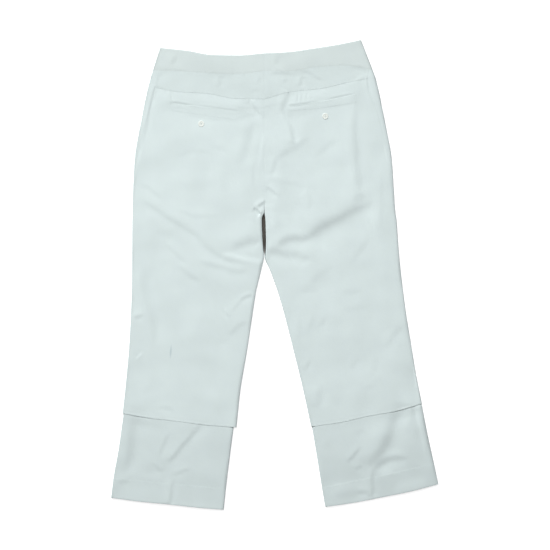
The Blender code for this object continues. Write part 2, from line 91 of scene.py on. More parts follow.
LAP_PRESS = 42.0              # the lap presses the folds of the lower leg down to here
LAP_FADE = 20.0               # and flattens them over this reach
LAP_KEPT = 0.5                # share of their height that they keep under the lap
LAP_SHOWN = 0.28              # share of it that shows through the lap
LAP_FOLLOW = 26.0             # up to here
LAP_EDGE_FADE = 8.0           # and over this reach from the tucked panel's edge
TUCK_FOLLOW = 6.0             # the folds of the lap press the leg under it down to here
SEAM_RIDGE = 0.08             # stands over the seam allowance of the waistband
FOLD_EDGE = 5.0               # folds die away this far inside the edges
SEAM_FADE = 5.0               # and those along the side seam this far from the nose
LOWEST_TOP = 1.8              # a fold never presses the back panel lower than this
LOWEST_BEND = 4.0             # how sharply it is held there
FRONT_WAVES = 0.35            # the resting side keeps this share of the unevenness

# How the seams sink: depth and half-width of the ditch.
SIDE_DITCH = (0.12, 1.5)
CENTRE_DITCH = (0.1, 1.4)
DITCH_WRAP = 3.0              # the front wraps this far before the side seam's ditch is full

# Beside a folded edge that faces right the cloth sags over a wider reach, and beside one
# that faces left it swells a little before it turns down.
EDGE_SAG = (0.38, 5.0)
EDGE_SWELL = (-0.5, 2.4)

# A folded edge turns down over this reach, by this share of the cloth.
EDGE_REACH = 1.1
HEM_REACH = 3.0
EDGE_TURN = 0.6
EDGE_STEPS = (3.2, 2.2, 1.5, 1.0, 0.6, 0.3, 0.1, 0.0)

SEAT_LENGTH = 310.0           # stations down to here are on the seat
BACK_ROWS = (1.6, 2.6)        # spacing of the mesh rows on the seat and on the leg
FRONT_ROWS = 3.0
BACK_SPACING = 1.9            # spacing of the mesh on the other panels, and of columns
YOKE_SPACING = 1.6
LOWER_SPACING = 2.1
FRONT_SPACING = 4.0
CLOTH_SHARP = math.radians(50.0)   # edges sharper than this stay sharp
NOSE_SAMPLES = 65
OUT_COLUMNS = 11
IN_PARTS = (1.0, 0.84, 0.7, 0.57, 0.45, 0.34, 0.24, 0.15, 0.07, 0.0)

# ---------------------------------------------------------------- section tables, mm
# y is given at the outer edge, the quarters and the inner edge. wrap is how far the
# front panel comes over the edge on to the top, and height is that of the top face.
Row = namedtuple("Row", "name y x_out x_in front_in wrap height")


def straight(y_out, y_in):
    """Heights of an unbent row at the outer edge, the quarters and the inner edge."""
    return tuple(y_out + (y_in - y_out) * quarter / 4 for quarter in range(5))


LEFT_UPPER = (
    Row("waist_top", (419.8, 414.7, 406.8, 405.9, 409.8), -212.0, CENTRE_X, CENTRE_X, 7.9, 4.6),
    Row("waist_seam", (378.0, 375.8, 372.8, 370.6, 376.5), -225.4, CENTRE_X, CENTRE_X, 7.9, 5.2),
    Row("yoke_seam", (349.3, 338.0, 334.8, 325.5, 324.3), -233.4, CENTRE_X, CENTRE_X, 12.9, 5.5),
    Row("pocket", straight(290.0, 290.0), -246.0, CENTRE_X, CENTRE_X, 11.9, 4.7),
    Row("seat", straight(212.0, 212.0), -259.0, CENTRE_X, CENTRE_X, 5.9, 4.6),
    Row("hip", straight(150.0, 150.0), -262.1, CENTRE_X, CENTRE_X, 0.5, 4.6),
    Row("crotch", straight(116.0, 116.0), -262.8, -19.9, CENTRE_X, 0.0, 4.8),
    Row("fork", straight(104.0, 104.0), -263.2, -23.8, CENTRE_X, 0.0, 4.9),
    Row("rise", straight(60.0, 60.0), -263.6, -22.2, CENTRE_X, 0.0, 4.8),
    Row("join", straight(34.0, 34.0), -263.8, -20.2, -19.9, 0.0, 4.6),
    Row("split", straight(8.0, 8.0), -263.9, -25.3, -25.3, 0.0, 4.5),
    Row("thigh", straight(-29.0, -30.0), -264.4, -34.3, -34.3, 0.0, 4.5),
    Row("knee", straight(-70.0, -75.0), -265.9, -41.3, -41.3, 0.0, 4.5),
    Row("shin", straight(-130.0, -140.0), -269.0, -51.2, -51.2, 0.0, 4.5),
    Row("calf", straight(-197.0, -214.0), -274.9, -63.5, -63.5, 0.0, 4.7),
    Row("lap", (-256.0, -265.2, -271.3, -278.0, -282.0), -281.2, -70.8, -70.8, 0.0, 5.2),
)
LEFT_LOWER = (
    Row("lap", (-256.5, -265.3, -271.3, -277.8, -281.9), -279.4, -75.9, -75.9, 0.0, 5.2),
    Row("ankle", straight(-322.0, -338.0), -288.6, -83.3, -83.3, 0.0, 4.9),
    Row("hem_seam", (-375.0, -380.5, -385.5, -390.0, -395.0), -298.0, -90.2, -90.2, 0.0, 4.7),
    Row("hem_edge", (-412.0, -418.9, -424.0, -429.9, -434.1), -302.6, -94.4, -94.4, 0.0, 5.0),
)
RIGHT_UPPER = (
    Row("waist_top", (434.4, 425.3, 418.4, 412.0, 409.8), 159.5, CENTRE_X, CENTRE_X, 7.0, 4.6),
    Row("waist_seam", (379.0, 386.5, 384.0, 376.6, 376.5), 181.0, CENTRE_X, CENTRE_X, 7.0, 5.2),
    Row("yoke_seam", (365.0, 355.0, 343.5, 338.0, 324.3), 186.2, CENTRE_X, CENTRE_X, 15.0, 5.5),
    Row("pocket", straight(290.0, 290.0), 202.6, CENTRE_X, CENTRE_X, 10.0, 4.7),
    Row("seat", straight(212.0, 212.0), 216.5, CENTRE_X, CENTRE_X, 6.0, 4.6),
    Row("hip", straight(150.0, 150.0), 220.6, CENTRE_X, CENTRE_X, 1.5, 4.6),
    Row("crotch", straight(116.0, 116.0), 223.0, -18.9, CENTRE_X, 0.0, 4.8),
    Row("fork", straight(104.0, 104.0), 224.9, -17.4, CENTRE_X, 0.0, 4.9),
    Row("rise", straight(60.0, 60.0), 228.0, -16.2, CENTRE_X, 0.0, 4.8),
    Row("join", straight(34.0, 34.0), 230.2, -17.0, -18.9, 0.0, 4.6),
    Row("split", straight(8.0, 8.0), 232.8, -8.5, -8.5, 0.0, 4.5),
    Row("thigh", straight(-28.0, -30.0), 237.0, 5.2, 5.2, 0.0, 4.5),
    Row("knee", straight(-66.0, -75.0), 242.0, 18.3, 18.3, 0.0, 4.5),
    Row("shin", straight(-122.0, -140.0), 251.0, 34.8, 34.8, 0.0, 4.5),
    Row("calf", straight(-186.0, -214.0), 261.6, 52.9, 52.9, 0.0, 4.7),
    Row("lap", (-238.0, -252.6, -262.0, -273.5, -280.5), 272.0, 67.2, 67.2, 0.0, 5.2),
)
RIGHT_LOWER = (
    Row("lap", (-238.4, -252.8, -262.1, -273.5, -280.5), 271.4, 68.8, 68.8, 0.0, 5.2),
    Row("ankle", straight(-300.0, -338.0), 283.6, 78.4, 78.4, 0.0, 5.6),
    Row("hem_seam", (-348.8, -360.2, -372.0, -382.2, -393.0), 294.4, 87.2, 87.2, 0.0, 4.8),
    Row("hem_edge", (-387.0, -400.7, -411.3, -421.4, -429.0), 302.6, 93.4, 93.4, 0.0, 3.9),
)

Side = namedtuple("Side", "name inward upper lower")
SIDES = (
    Side("left", 1.0, LEFT_UPPER, LEFT_LOWER),
    Side("right", -1.0, RIGHT_UPPER, RIGHT_LOWER),
)

# ---------------------------------------------------------------- creases, mm
# A crease is a step in the cloth. Its points run along the middle of the slope, from
# left to right or from bottom to top, with the high side on the left. rise is the height
# of the step, width how far the slope reaches to each side, above and below how far off
# the cloth is level again on the high and the low side. start and finish are the shares
# of its length over which the ends die away. With a negative rise the left side is low.
Crease = namedtuple("Crease", "name points rise width above below start finish")


def crease_table(*rows):
    """The rows as creases."""
    return tuple(Crease(*row) for row in rows)


UPPER_CREASES = crease_table(
    # right seat and thigh
    ("right_thigh", ((0, 54), (12, 62), (22, 67), (36, 69), (50, 68), (61, 70), (72, 77), (85, 87),
     (100, 95), (120, 105), (140, 116), (160, 125), (184, 132)), 0.6, 5.6, 18, 16, 0.14, 0.3),
    ("right_thigh_full", ((50, 64), (72, 77), (85, 87), (100, 95), (120, 105), (140, 116), (160, 125),
     (176, 130), (194, 132)), 5.4, 13.5, 42, 42, 0.2, 0.3),
    ("right_thigh_root", ((2, 49), (13, 59), (26, 65), (40, 67), (54, 66), (66, 69)), 3.4, 9, 18, 28,
     0.3, 0.3),
    ("right_under", ((-14, 45), (0, 44), (14, 41), (28, 38), (46, 36), (60, 32), (70, 25)), 3.2, 9.5,
     20, 18, 0.1, 0.3),
    ("right_under_end", ((46, 21), (55, 28), (62, 38)), 0.7, 6, 12, 12, 0.4, 0.4),
    ("right_seat", ((-17, 176), (0, 174), (20, 171), (40, 167), (56, 160)), 0.55, 4, 14, 24, 0.12, 0.3),
    ("right_seat_face", ((-10, 128), (18, 130), (48, 128)), 1.5, 24, 34, 40, 0.3, 0.3),
    ("right_centre_face", ((10, 40), (12, 90), (15, 140), (18, 190), (19, 240), (21, 286)), 1.7, 16, 26,
     46, 0.15, 0.2),
    ("right_seat_edge", ((61, 116), (66, 135), (63, 152), (55, 163)), 1.2, 6, 20, 14, 0.4, 0.3),
    ("right_seat_small", ((-15, 164), (-5, 156), (3, 148), (9, 142)), 1.6, 2.6, 6, 8, 0.2, 0.4),
    ("right_seat_low", ((-8, 183), (-2, 198), (2, 212), (5, 220)), 0.9, 3.6, 12, 10, 0.2, 0.3),
    ("right_seat_rise", ((3, 214), (15, 223), (28, 231), (42, 239), (55, 248), (70, 258)), 1.25, 6.5,
     16, 20, 0.25, 0.35),
    ("right_seat_soft", ((70, 214), (85, 228), (100, 240), (117, 255)), 0.9, 7, 14, 14, 0.35, 0.35),
    ("right_hip", ((161, 146), (156, 165), (153, 185), (151, 210), (150, 240), (147, 270), (150, 300),
     (151, 334)), 3, 8, 18, 20, 0.15, 0.5),
    ("right_hip_foot", ((140, 136), (156, 143), (172, 148)), 1.4, 8, 14, 14, 0.4, 0.4),
    ("right_thigh_side", ((140, 14), (150, 34), (160, 48), (169, 64), (173, 80)), 0.8, 6, 12, 12, 0.35,
     0.35),
    ("right_side", ((197, 80), (197, 120), (197, 160), (196, 195)), 0.6, 5, 10, 10, 0.3, 0.3),
    ("right_out_face", ((208, -190), (197, -100), (188, 0), (184, 90), (182, 170)), -1.3, 17, 34, 24,
     0.15, 0.2),
    ("right_knee", ((64, -22), (73, -9), (82, 0), (95, 9), (112, 20)), 0.6, 7, 14, 16, 0.3, 0.4),
    ("right_knee_shade", ((44, -31), (60, -28), (82, -31)), 0.75, 7, 14, 12, 0.3, 0.3),
    ("right_knee_low", ((54, -46), (66, -43), (80, -46)), 0.25, 6, 10, 12, 0.4, 0.4),
    ("right_knee_mid", ((118, -36), (140, -31), (164, -29)), 0.7, 6, 12, 12, 0.4, 0.4),
    ("right_knee_wide", ((118, -68), (145, -63), (174, -58)), 0.6, 8, 14, 14, 0.4, 0.4),
    ("right_inner", ((49, -130), (45, -100), (49, -62)), 0.8, 6, 10, 12, 0.4, 0.4),
    ("right_inner_streak", ((64, -102), (71, -82), (76, -66)), 0.3, 3.5, 8, 8, 0.3, 0.4),
    ("right_inner_streak_b", ((84, -97), (90, -84), (94, -74)), 0.55, 4, 8, 8, 0.3, 0.4),
    ("right_calf_out", ((200, -140), (212, -125), (221, -110), (232, -98), (242, -95)), 0.75, 6, 12, 12,
     0.4, 0.2),
    ("right_shin_mid", ((137, -176), (146, -165), (153, -150)), 0.7, 6, 10, 10, 0.4, 0.4),
    ("right_shin_out", ((184, -190), (184, -170), (191, -148)), 0.65, 6, 10, 10, 0.4, 0.4),
    ("right_shin_in", ((56, -180), (60, -168), (65, -156)), 1, 4, 8, 8, 0.4, 0.4),
    ("right_lap_shade", ((162, -214), (176, -207), (190, -205)), 0.55, 6, 10, 10, 0.4, 0.4),
    ("right_lap_in", ((82, -246), (82, -226), (85, -204)), 1.8, 8, 14, 14, 0.3, 0.4),
    ("right_rim_low", ((258, -150), (263, -185), (268, -220), (273, -250)), 2.6, 6.5, 12, 14, 0.45,
     0.05),
    ("right_crotch_lit", ((-4, 84), (-5, 100), (-9, 116), (-14, 130)), -1.3, 6, 14, 16, 0.3, 0.2),
    ("right_crotch_line", ((-22, 121), (-14, 112), (-4, 103), (9, 92)), 0.5, 1.5, 4, 4, 0.1, 0.4),
    ("right_crotch_line_b", ((-20, 131), (-13, 121), (-8, 114)), 0.3, 1.5, 4, 4, 0.2, 0.4),
    # left seat and thigh
    ("left_thigh", ((-247, 142), (-232, 130), (-215, 118), (-200, 107), (-185, 99), (-170, 90),
     (-155, 80), (-142, 72), (-134, 62), (-127, 53), (-116, 45), (-104, 36), (-90, 30), (-74, 26),
     (-56, 23), (-40, 22)), 1.5, 5.6, 16, 13, 0.13, 0.22),
    ("left_thigh_lit", ((-100, 40), (-82, 37), (-62, 32), (-42, 28), (-22, 25)), -1.2, 4.5, 10, 12,
     0.15, 0.08),
    ("left_triangle", ((-84, 47), (-68, 54), (-54, 60), (-42, 63), (-32, 63), (-25, 59)), 2.8, 11, 24,
     12, 0.35, 0.14),
    ("left_triangle_up", ((-54, 42), (-47, 62), (-41, 84), (-36, 106)), 1.2, 12, 26, 15, 0.3, 0.4),
    ("left_face", ((-124, 70), (-92, 84), (-60, 102)), -1.2, 18, 24, 24, 0.3, 0.3),
    ("left_under", ((-148, 30), (-130, 22), (-112, 17), (-95, 13), (-80, 8), (-62, 6), (-44, 8)), 1.05,
     5.2, 12, 14, 0.3, 0.2),
    ("left_hip_fold", ((-250, 168), (-236, 163), (-225, 155), (-215, 147), (-204, 139)), 0.85, 4.5, 9,
     10, 0.3, 0.3),
    ("left_thigh_small", ((-186, 123), (-168, 115), (-152, 110), (-128, 108), (-100, 110), (-78, 111)),
     0.65, 4.5, 9, 10, 0.2, 0.6),
    ("left_thigh_face", ((-222, 82), (-200, 77), (-180, 72)), 1.25, 10, 16, 16, 0.4, 0.4),
    ("left_side_small", ((-206, 60), (-190, 46), (-178, 35), (-167, 24), (-158, 18)), 0.9, 5, 10, 10,
     0.3, 0.4),
    ("left_knee_top", ((-181, 20), (-170, 10), (-160, 1), (-150, -5), (-134, -12)), 1.25, 5.5, 12, 12,
     0.3, 0.35),
    ("left_knee_patch", ((-122, -8), (-108, -15), (-98, -22), (-90, -29)), 0.3, 7, 10, 12, 0.3, 0.4),
    ("left_seat_soft", ((-192, 217), (-172, 223), (-152, 229), (-135, 228), (-110, 221)), 0.6, 5.5, 14,
     12, 0.35, 0.35),
    ("left_seat_full", ((-178, 174), (-146, 179), (-112, 182)), -0.9, 12, 19, 19, 0.3, 0.3),
    ("left_seat_more", ((-118, 237), (-98, 233), (-84, 226)), 0.5, 5, 10, 10, 0.4, 0.4),
    ("left_centre", ((-64, 200), (-58, 222), (-52, 245), (-46, 268), (-44, 284)), 1.7, 8.5, 18, 15, 0.3,
     0.2),
    ("left_centre_lit", ((-30, 196), (-27, 222), (-23, 246), (-21, 268)), -0.7, 4, 8, 7, 0.3, 0.3),
    ("left_centre_line", ((-40, 158), (-40, 185), (-39, 212)), 0.45, 2.5, 6, 6, 0.3, 0.3),
    ("left_crotch", ((-36, 123), (-29, 128), (-21, 133), (-15, 138)), 2.4, 2.6, 6, 7, 0.15, 0.35),
    ("left_crotch_lap", ((-36, 124), (-31, 119), (-25, 112)), 5, 2, 4, 6, 0.1, 0.1),
    ("left_crotch_side", ((-30, 46), (-33, 75), (-36, 100), (-39, 118)), 0.8, 4.5, 16, 8, 0.25, 0.15),
    # hip, yoke and band
    ("left_hip_wrinkle", ((-189, 317), (-192, 328), (-194, 343)), 0.9, 1.8, 5, 5, 0.2, 0.4),
    ("left_yoke_v", ((-46, 324), (-41, 314), (-33, 304), (-27, 296), (-24, 286)), 1.8, 3.2, 8, 9, 0.15,
     0.35),
    ("left_yoke_back", ((-72, 284), (-60, 291), (-46, 296), (-34, 293), (-28, 284)), 0.45, 4.5, 9, 9,
     0.35, 0.35),
    ("left_yoke_spot", ((-44, 336), (-36, 341), (-26, 340)), 0.6, 4, 7, 8, 0.4, 0.4),
    ("left_yoke_spot_b", ((-31, 350), (-29, 360), (-26, 368)), 0.7, 4, 7, 8, 0.4, 0.4),
    ("left_yoke_tick", ((-103, 345), (-102, 356), (-104, 367)), 1.1, 4.6, 8, 8, 0.3, 0.3),
    ("left_yoke_soft", ((-126, 372), (-98, 370), (-64, 373)), 0.2, 4, 9, 10, 0.3, 0.3),
    ("left_band_end", ((-222, 380), (-205, 383), (-186, 379), (-160, 379)), 0.25, 3, 8, 8, 0.1, 0.4),
    ("left_curl", ((-226, 354), (-218, 364), (-207, 374), (-192, 381)), 0.75, 5, 12, 12, 0.3, 0.35),
    ("left_band_fold", ((-192, 386), (-186, 396), (-181, 408)), 1.1, 5, 9, 9, 0.4, 0.4),
    ("right_yoke_band", ((-12, 372), (12, 373), (38, 371)), 0.9, 4, 9, 9, 0.3, 0.3),
    ("right_yoke_v", ((19, 289), (15, 297), (14, 306), (18, 317), (22, 327), (28, 339)), 1.7, 5.2, 13,
     10, 0.3, 0.1),
    ("right_yoke_v_low", ((37, 240), (34, 254), (31, 268), (26, 281), (19, 292), (14, 303)), 2.7, 4.8,
     12, 11, 0.2, 0.25),
    ("right_yoke_tick", ((46, 347), (48, 357), (49, 367)), 1.4, 4.2, 7, 8, 0.3, 0.3),
    ("right_yoke_spot", ((14, 353), (20, 359), (25, 362)), 0.6, 4, 7, 7, 0.4, 0.4),
    ("right_yoke_wrinkle", ((42, 376), (58, 375), (70, 369), (80, 363), (96, 359)), 0.8, 3.2, 8, 8, 0.3,
     0.4),
    ("right_yoke_soft", ((70, 384), (100, 386), (132, 385)), 0.15, 5, 10, 10, 0.4, 0.3),
    ("right_yoke_lit", ((128, 352), (142, 356), (154, 363), (164, 371)), -0.6, 3.4, 8, 8, 0.3, 0.3),
    ("right_yoke_face", ((96, 371), (118, 370), (136, 366)), 0.3, 7, 12, 12, 0.4, 0.4),
    ("right_band_end", ((140, 385), (158, 382), (176, 377)), 0.7, 3, 8, 8, 0.3, 0.1),
    ("right_band_fold", ((-2, 388), (4, 396), (8, 407)), 1.1, 6, 10, 10, 0.4, 0.3),
    ("right_welt_end", ((144, 318), (149, 327), (150, 337)), 0.3, 4.5, 11, 7, 0.2, 0.3),
    ("left_mouth", ((-192, 319.4), (-176, 317.2), (-158, 314.4), (-146, 312.6)), 1, 1.3, 5, 4, 0.05,
     0.5),
    ("left_mouth_inner", ((-142, 312), (-126, 310.4), (-98, 307), (-67, 303)), 0.65, 1.1, 5, 4, 0.3,
     0.06),
    ("left_welt_low", ((-176, 298.5), (-158, 295), (-130, 290.5), (-98, 286.5), (-66, 284)), 0.3, 2.4,
     7, 7, 0.4, 0.15),
    ("left_mouth_under", ((-188, 311), (-172, 309), (-156, 306.5)), 0.3, 1.1, 4, 4, 0.3, 0.4),
    ("right_mouth", ((25, 312.8), (45, 314.6), (66, 318.2), (84, 321.4)), 1.3, 1.4, 5, 4, 0.05, 0.6),
    ("right_mouth_outer", ((96, 324.6), (120, 329.4), (151, 335.4)), 0.75, 1.2, 5, 4, 0.3, 0.3),
    ("right_welt_low", ((66, 303), (94, 309), (122, 314), (149, 318)), 0.22, 2.2, 6, 6, 0.4, 0.2),
    # the seat swells below the yoke
    ("left_seat_top", ((-215, 316), (-130, 305), (-40, 300)), 1.5, 16, 26, 26, 0.2, 0.2),
    ("right_seat_top", ((15, 305), (100, 317), (178, 333)), 1.4, 16, 26, 26, 0.2, 0.2),
    # gathers that fan out under the yoke at the right pocket
    ("right_gather_a", ((40, 317), (41, 327), (43, 337)), 0.65, 1.9, 3.4, 3.4, 0.3, 0.3),
    ("right_gather_b", ((49, 318), (49, 328), (50, 337)), 0.75, 1.9, 3.4, 3.4, 0.3, 0.3),
    ("right_gather_c", ((58, 320), (58, 329), (57, 337)), 0.7, 1.9, 3.4, 3.4, 0.3, 0.3),
    ("right_gather_d", ((68, 321), (67, 329), (65, 338)), 0.45, 1.9, 3.4, 3.4, 0.3, 0.3),
    # knees and shins
    ("left_knee_a", ((-66, -49), (-56, -42), (-42, -37)), 1.3, 2.8, 6, 8, 0.3, 0.1),
    ("left_knee_b", ((-80, -70), (-70, -56), (-58, -46)), 0.65, 3, 6, 8, 0.3, 0.3),
    ("left_knee_c", ((-95, -62), (-89, -73), (-82, -80)), 1.3, 2.6, 6, 6, 0.3, 0.4),
    ("left_knee_d", ((-88, -113), (-76, -104), (-66, -93), (-52, -88)), 0.9, 5, 10, 12, 0.4, 0.1),
    ("left_knee_e", ((-112, -130), (-96, -122), (-80, -124)), 0.4, 7, 12, 12, 0.4, 0.4),
    ("left_outer", ((-221, -135), (-222, -105), (-228, -78), (-238, -45), (-244, -12), (-247, 12)), 2.4,
     8, 14, 20, 0.3, 0.2),
    ("left_outer_edge", ((-262, -80), (-250, -77), (-240, -74)), 1.3, 4, 8, 8, 0.3, 0.4),
    ("left_shin_ridge", ((-258, -157), (-251, -149), (-243, -142)), -1, 2.4, 5, 5, 0.3, 0.3),
    ("left_shin_out", ((-246, -222), (-236, -212), (-222, -204)), 0.65, 7, 12, 12, 0.4, 0.4),
    ("left_shin_low", ((-222, -246), (-205, -245), (-182, -252)), 0.8, 5, 8, 8, 0.4, 0.4),
    ("left_shin_face", ((-190, -158), (-150, -156), (-100, -160)), 0.4, 14, 24, 24, 0.4, 0.4),
)
LOWER_CREASES = crease_table(
    ("left_ankle", ((-206, -342), (-195, -342), (-186, -335), (-178, -325), (-168, -313), (-158, -302),
     (-148, -290), (-137, -277), (-126, -262)), 1.5, 4.4, 12, 14, 0.2, 0.1),
    ("left_ankle_side", ((-216, -340), (-210, -325), (-204, -312), (-198, -298), (-190, -289)), 0.85,
     3.4, 8, 8, 0.3, 0.35),
    ("left_hem_a", ((-228, -346), (-219, -354), (-211, -360), (-200, -361)), 0.8, 3.6, 7, 8, 0.3, 0.35),
    ("left_hem_b", ((-192, -371), (-178, -366), (-168, -362), (-153, -358)), 0.85, 4, 8, 9, 0.3, 0.35),
    ("left_hem_press", ((-194, -424), (-192, -410), (-190, -392), (-189, -374)), 1.5, 4, 9, 9, 0.1,
     0.35),
    ("left_ankle_edge", ((-277, -370), (-271, -345), (-266, -312), (-262, -266), (-260, -236)), 4.2,
     11.5, 16, 27, 0.3, 0.12),
    ("left_hem_corner", ((-292, -384), (-280, -382), (-264, -380)), 1.0, 6, 10, 10, 0.3, 0.4),
    ("left_hem_lit", ((-252, -371), (-230, -371), (-206, -372)), -0.8, 8, 12, 12, 0.3, 0.3),
    ("right_ankle", ((172, -356), (181, -344), (190, -334), (199, -323), (205, -311), (210, -298),
     (214, -285), (218, -270), (223, -252), (227, -230)), 5, 11.5, 30, 27, 0.18, 0.1),
    ("right_ankle_side", ((181, -362), (191, -353), (202, -345), (213, -340), (226, -338), (239, -339),
     (250, -342)), 2.8, 7.5, 12, 15, 0.2, 0.35),
    ("right_ankle_in", ((131, -348), (142, -338), (150, -328), (159, -315)), 1.15, 3.4, 9, 9, 0.3,
     0.35),
    ("right_ankle_low", ((146, -360), (155, -356), (164, -352)), 0.75, 3.5, 7, 7, 0.4, 0.4),
    ("right_hem_press", ((180, -410), (181, -395), (180, -375), (181, -356)), 1.7, 4, 10, 10, 0.1, 0.3),
    ("right_ankle_face", ((84, -322), (98, -314), (112, -300)), 0.9, 9, 16, 16, 0.4, 0.4),
    ("right_ankle_top", ((146, -296), (155, -292), (162, -284)), 1, 8, 12, 12, 0.4, 0.4),
    ("right_lap_end", ((250, -292), (252, -270), (256, -248), (258, -230)), 0.8, 6, 11, 11, 0.4, 0.25),
    ("right_side_ridge", ((281, -336), (276, -318), (270, -292), (265, -268), (262, -254), (257, -232)),
     -1.9, 2.6, 7, 6, 0.3, 0.2),
    ("right_rim", ((297, -350), (291, -330), (284, -300), (277, -262), (273, -240)), 1.7, 3, 7, 8, 0.3,
     0.15),
    ("right_hem_a", ((198, -374), (212, -372), (230, -370)), 0.5, 5, 9, 9, 0.4, 0.4),
    ("right_hem_corner", ((150, -403), (166, -401), (178, -402)), 1.3, 5, 8, 8, 0.4, 0.4),
    ("right_hem_out", ((216, -394), (246, -388), (284, -380)), -2.6, 15, 24, 24, 0.3, 0.2),
    ("right_hem_in", ((108, -409), (136, -405), (166, -399)), 1.8, 12, 20, 20, 0.3, 0.3),
)
FRONT_CREASES = crease_table(
    ("front_fork_left", ((-170, 60), (-110, 92), (-40, 118)), 0.6, 6, 14, 10, 0.4, 0.2),
    ("front_fork_left_low", ((-150, 20), (-95, 50), (-36, 78)), 0.5, 5, 12, 10, 0.4, 0.2),
    ("front_fork_right", ((0, 118), (70, 96), (130, 58)), 0.6, 6, 14, 10, 0.2, 0.4),
    ("front_fork_right_low", ((0, 84), (52, 60), (108, 18)), 0.5, 5, 12, 10, 0.2, 0.4),
    ("front_hip_left", ((-240, 176), (-190, 190), (-140, 186)), 0.4, 6, 12, 10, 0.4, 0.4),
    ("front_hip_right", ((96, 190), (150, 182), (200, 160)), 0.4, 6, 12, 10, 0.4, 0.4),
    ("front_knee_left", ((-230, -60), (-170, -84), (-96, -70)), 0.5, 6, 13, 11, 0.4, 0.4),
    ("front_knee_right", ((60, -92), (120, -70), (206, -86)), 0.5, 6, 13, 11, 0.4, 0.4),
    ("front_shin_left", ((-220, -170), (-160, -150), (-110, -166)), 0.4, 6, 12, 10, 0.4, 0.4),
    ("front_shin_right", ((92, -178), (160, -150), (220, -170)), 0.4, 6, 12, 10, 0.4, 0.4),
)
# The wrapped strip stands above the back panel along the side seam.
SEAM_CREASES = crease_table(
    ("left_side_seam", ((-246, 236), (-241, 262), (-236, 284), (-231, 305), (-227, 324), (-223, 340),
     (-221, 350)), 1, 2.2, 7, 8, 0.6, 0.04),
    ("right_side_seam", ((176, 334), (172, 344), (171, 356), (170, 366)), 0.6, 1.8, 6, 7, 0.4, 0.2),
)
CREASE_SAMPLES = 41
CREASE_MARGIN = 2.6           # reaches beyond which a crease adds nothing
CREASE_TIP = 0.4              # share of its width left at a crease's ends
CREASE_END = 4                # times as fast as beside it a crease fades past its ends

# Soft unevenness all over: plane waves in fixed random directions.
WAVE_COUNT = 18
WAVE_LENGTHS = (34.0, 120.0)
WAVE_HEIGHT = 0.0011          # of the wave's length
WAVE_SEED = 11
# They are bent along the other axis: size, reach and phase of each bend.
X_BENDS = ((9.0, 57.0, 0.0), (5.0, 23.0, 1.0))
Y_BENDS = ((8.0, 49.0, 2.0), (4.0, 19.0, 0.0))

# Puckers where a row is sewn.
PUCKER_LENGTHS = (7.3, 11.9, 19.7, 33.1)
PUCKER_HEIGHT = 0.05
PUCKER_REACH = 3.4
PUCKER_PHASE = 1.7            # per millimetre of the length

# ---------------------------------------------------------------- sewing, mm
Welt = namedtuple("Welt", "outer middle inner depth_outer depth_inner button")
WELTS = (
    Welt((-190.5, 317.8), (-130.0, 310.0), (-67.5, 302.0), 15.0, 16.5, (-135.9, 279.0)),
    Welt((150.8, 334.0), (88.0, 321.0), (25.5, 311.4), 16.5, 9.5, (93.5, 293.0)),
)
WELT_THICK = 0.14
WELT_COLUMNS = 110
WELT_LENGTH = 122.0
WELT_END = 1.2                # its ends thin out over this reach
WELT_END_SHARE = 0.15         # to this share of its thickness
WELT_LIFT = 0.03              # its outer face lies at least this far off the panel
WELT_UNDER = 0.01             # and its underside this far
WELT_STITCHED = (0.012, 0.988)    # shares of its length between which it is stitched
WELT_INSET = 1.5              # its stitches lie this far inside its edges
WELT_POINTS = 40              # along each long side of their line
WELT_STITCHES = (2.6, 1.9)    # pitch and length of its stitches
# Parts of the welt's depth, and how much of its thickness stands there.
WELT_PROFILE = (
    (0.0, 0.25), (0.01, 0.62), (0.03, 0.88), (0.06, 1.0), (0.12, 1.0), (0.2, 0.86),
    (0.32, 0.82), (0.45, 0.86), (0.58, 0.9), (0.7, 0.9), (0.8, 0.84), (0.88, 0.72),
    (0.94, 0.55), (0.98, 0.34), (1.0, 0.12),
)

STITCH_RADIUS = 0.2
STITCH_SIDES = 5
# Along a stitch from -1 to 1: its radius and how far it stands, as shares of the radius.
STITCH_RINGS = ((-1.0, 0.35, -1.2), (-0.72, 0.9, -0.5), (0.0, 1.0, -0.2),
                (0.72, 0.9, -0.5), (1.0, 0.35, -1.2))
STITCH_LENGTH = 2.3
STITCH_PITCH = 3.1
STITCH_TURN = 0.4             # a stitch runs as its line does over this reach to each side
ROW_POINTS = 60               # along the line of a row of stitches
# The rows of stitches: where they lie from a table row, between which shares of its
# width, and whether on the face that is on top.
STITCH_ROWS = (
    # panel, table, row, dy, start, finish, above
    ("waistband_back", "upper", "waist_top", -3.0, 0.035, 0.99, True),
    ("waistband_back", "upper", "waist_seam", 2.2, 0.035, 0.99, True),
    ("yoke_back", "upper", "yoke_seam", 1.7, 0.07, 0.99, True),
    ("leg_back", "upper", "lap", 1.6, 0.03, 0.97, True),
    ("lower_back", "lower", "hem_seam", -1.4, 0.03, 0.97, True),
    ("waistband_front", "upper", "waist_top", -3.0, 0.035, 0.99, False),
    ("waistband_front", "upper", "waist_seam", 2.2, 0.035, 0.99, False),
    ("lower_front", "lower", "hem_seam", -1.4, 0.03, 0.97, False),
)
RAY_TOP, RAY_BOTTOM = 0.05, -0.01    # metres: the faces are looked for from here

